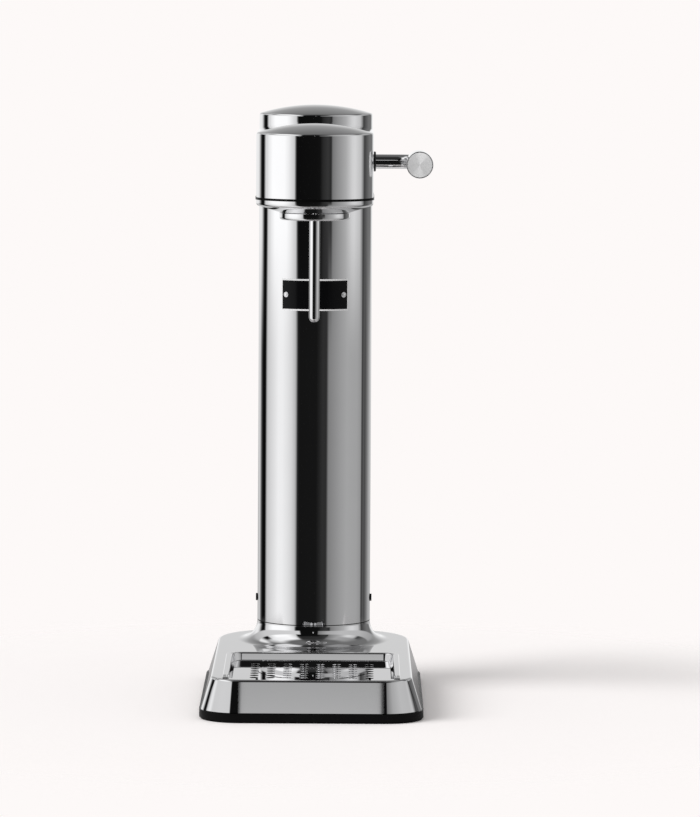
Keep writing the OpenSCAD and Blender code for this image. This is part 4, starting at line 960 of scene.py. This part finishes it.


def make_floor():
    """Pale floor that fades into the backdrop; in the steel it fades sooner, and beside the base it carries a
    painted shade that only the steel mirrors.
    """
    bm = bmesh.new()
    bmesh.ops.create_circle(bm, cap_ends=True, segments=96, radius=FLOOR_R)
    mesh = bpy.data.meshes.new("floor")
    bm.to_mesh(mesh)
    bm.free()
    floor = bpy.data.objects.new("floor", mesh)
    bpy.context.scene.collection.objects.link(floor)
    material = bpy.data.materials.new("pale_floor")
    material.use_nodes = True
    tree = material.node_tree
    tree.nodes.clear()
    place = add(tree, "ShaderNodeTexCoord")
    length = add(tree, "ShaderNodeVectorMath", operation="LENGTH")
    tree.links.new(place.outputs["Object"], length.inputs[0])
    far = length.outputs["Value"]
    axes = add(tree, "ShaderNodeSeparateXYZ")
    tree.links.new(place.outputs["Object"], axes.inputs[0])
    mirrored = add(tree, "ShaderNodeLightPath").outputs["Is Glossy Ray"]
    # beside the base the steel keeps seeing the floor, with a painted shade on it
    beside = sums(tree, "MULTIPLY", spread(tree, sums(tree, "ABSOLUTE", axes.outputs["X"]), *BESIDE_X),
                  spread(tree, axes.outputs["Y"], *BESIDE_Y))
    near = sums(tree, "MULTIPLY", spread(tree, far, *MIRRORED_FADE), rest_of(tree, beside))
    share = sums(tree, "MAXIMUM", spread(tree, far, *FLOOR_FADE), sums(tree, "MULTIPLY", near, mirrored))
    plain = add(tree, "ShaderNodeBsdfDiffuse")
    # painted shade: glossy rays see the floor darker beside the base
    painted_shade = blend(tree, sums(tree, "MULTIPLY", beside, mirrored), PALE, BESIDE_PAINTED_SHADE)
    tree.links.new(painted_shade, plain.inputs["Color"])
    clear = add(tree, "ShaderNodeBsdfTransparent")
    mix = add(tree, "ShaderNodeMixShader")
    tree.links.new(share, mix.inputs[0])
    tree.links.new(plain.outputs[0], mix.inputs[1])
    tree.links.new(clear.outputs[0], mix.inputs[2])
    tree.links.new(mix.outputs[0], add(tree, "ShaderNodeOutputMaterial").inputs["Surface"])
    floor.data.materials.append(material)


LAMP_HEIGHT, LAMP_WIDTH = 38, 38           # degrees over the floor, and across as the machine sees it
LAMP_TOWARDS = Vector((0.80, 0.30, -0.67))


def make_lamp():
    """Large soft lamp high on the left; the steel doesn't mirror it, because the surround has its panel."""
    data = bpy.data.lights.new("left_softbox", "SUN")
    data.energy = (1 - SKY_SHARE) * math.pi / math.sin(math.radians(LAMP_HEIGHT))
    data.angle = math.radians(LAMP_WIDTH)
    lamp = bpy.data.objects.new("left_softbox", data)
    bpy.context.scene.collection.objects.link(lamp)
    lamp.rotation_euler = LAMP_TOWARDS.to_track_quat("-Z", "Y").to_euler()
    lamp.visible_glossy = False


PHOTO_H, FOCAL_LENGTH, SENSOR = 817, 5029, 36        # pixels of the photo, and millimetres
CAMERA_AT = (25.2 * MM, -3.5, 0.502)
CAMERA_DOWN, CAMERA_ROLL = 4.88, 0.33                # degrees


def make_camera():
    """The photo's own camera, found from the machine's outlines."""
    data = bpy.data.cameras.new("photo_camera")
    data.lens = SENSOR * FOCAL_LENGTH / PHOTO_H
    data.sensor_width = SENSOR
    data.clip_start, data.clip_end = 0.1, 30
    camera = bpy.data.objects.new("photo_camera", data)
    bpy.context.scene.collection.objects.link(camera)
    camera.matrix_world = (Matrix.Translation(CAMERA_AT)
                           @ Matrix.Rotation(math.radians(90 - CAMERA_DOWN), 4, "X")
                           @ Matrix.Rotation(math.radians(CAMERA_ROLL), 4, "Z"))
    bpy.context.scene.camera = camera


# ---------------------------------------------------------------- the scene

for part in frame["record"]["subparts"]:
    mesh = nodes[part["node"]].data
    mesh.materials.clear()
    mesh.materials.append(finishes[part["material_slot"]])

nodes["label_frame"].data.materials[0] = finishes["turned_steel"]

make_base_shell()
make_tray_front()
make_pan()
make_column()
make_head()
make_cap()
make_collar()
make_lever_ring()
make_arm()
make_knob()
make_rivets()
make_spring()
make_camera()
make_surround()
make_floor()
make_lamp()
bpy.context.scene.view_settings.view_transform = "Standard"
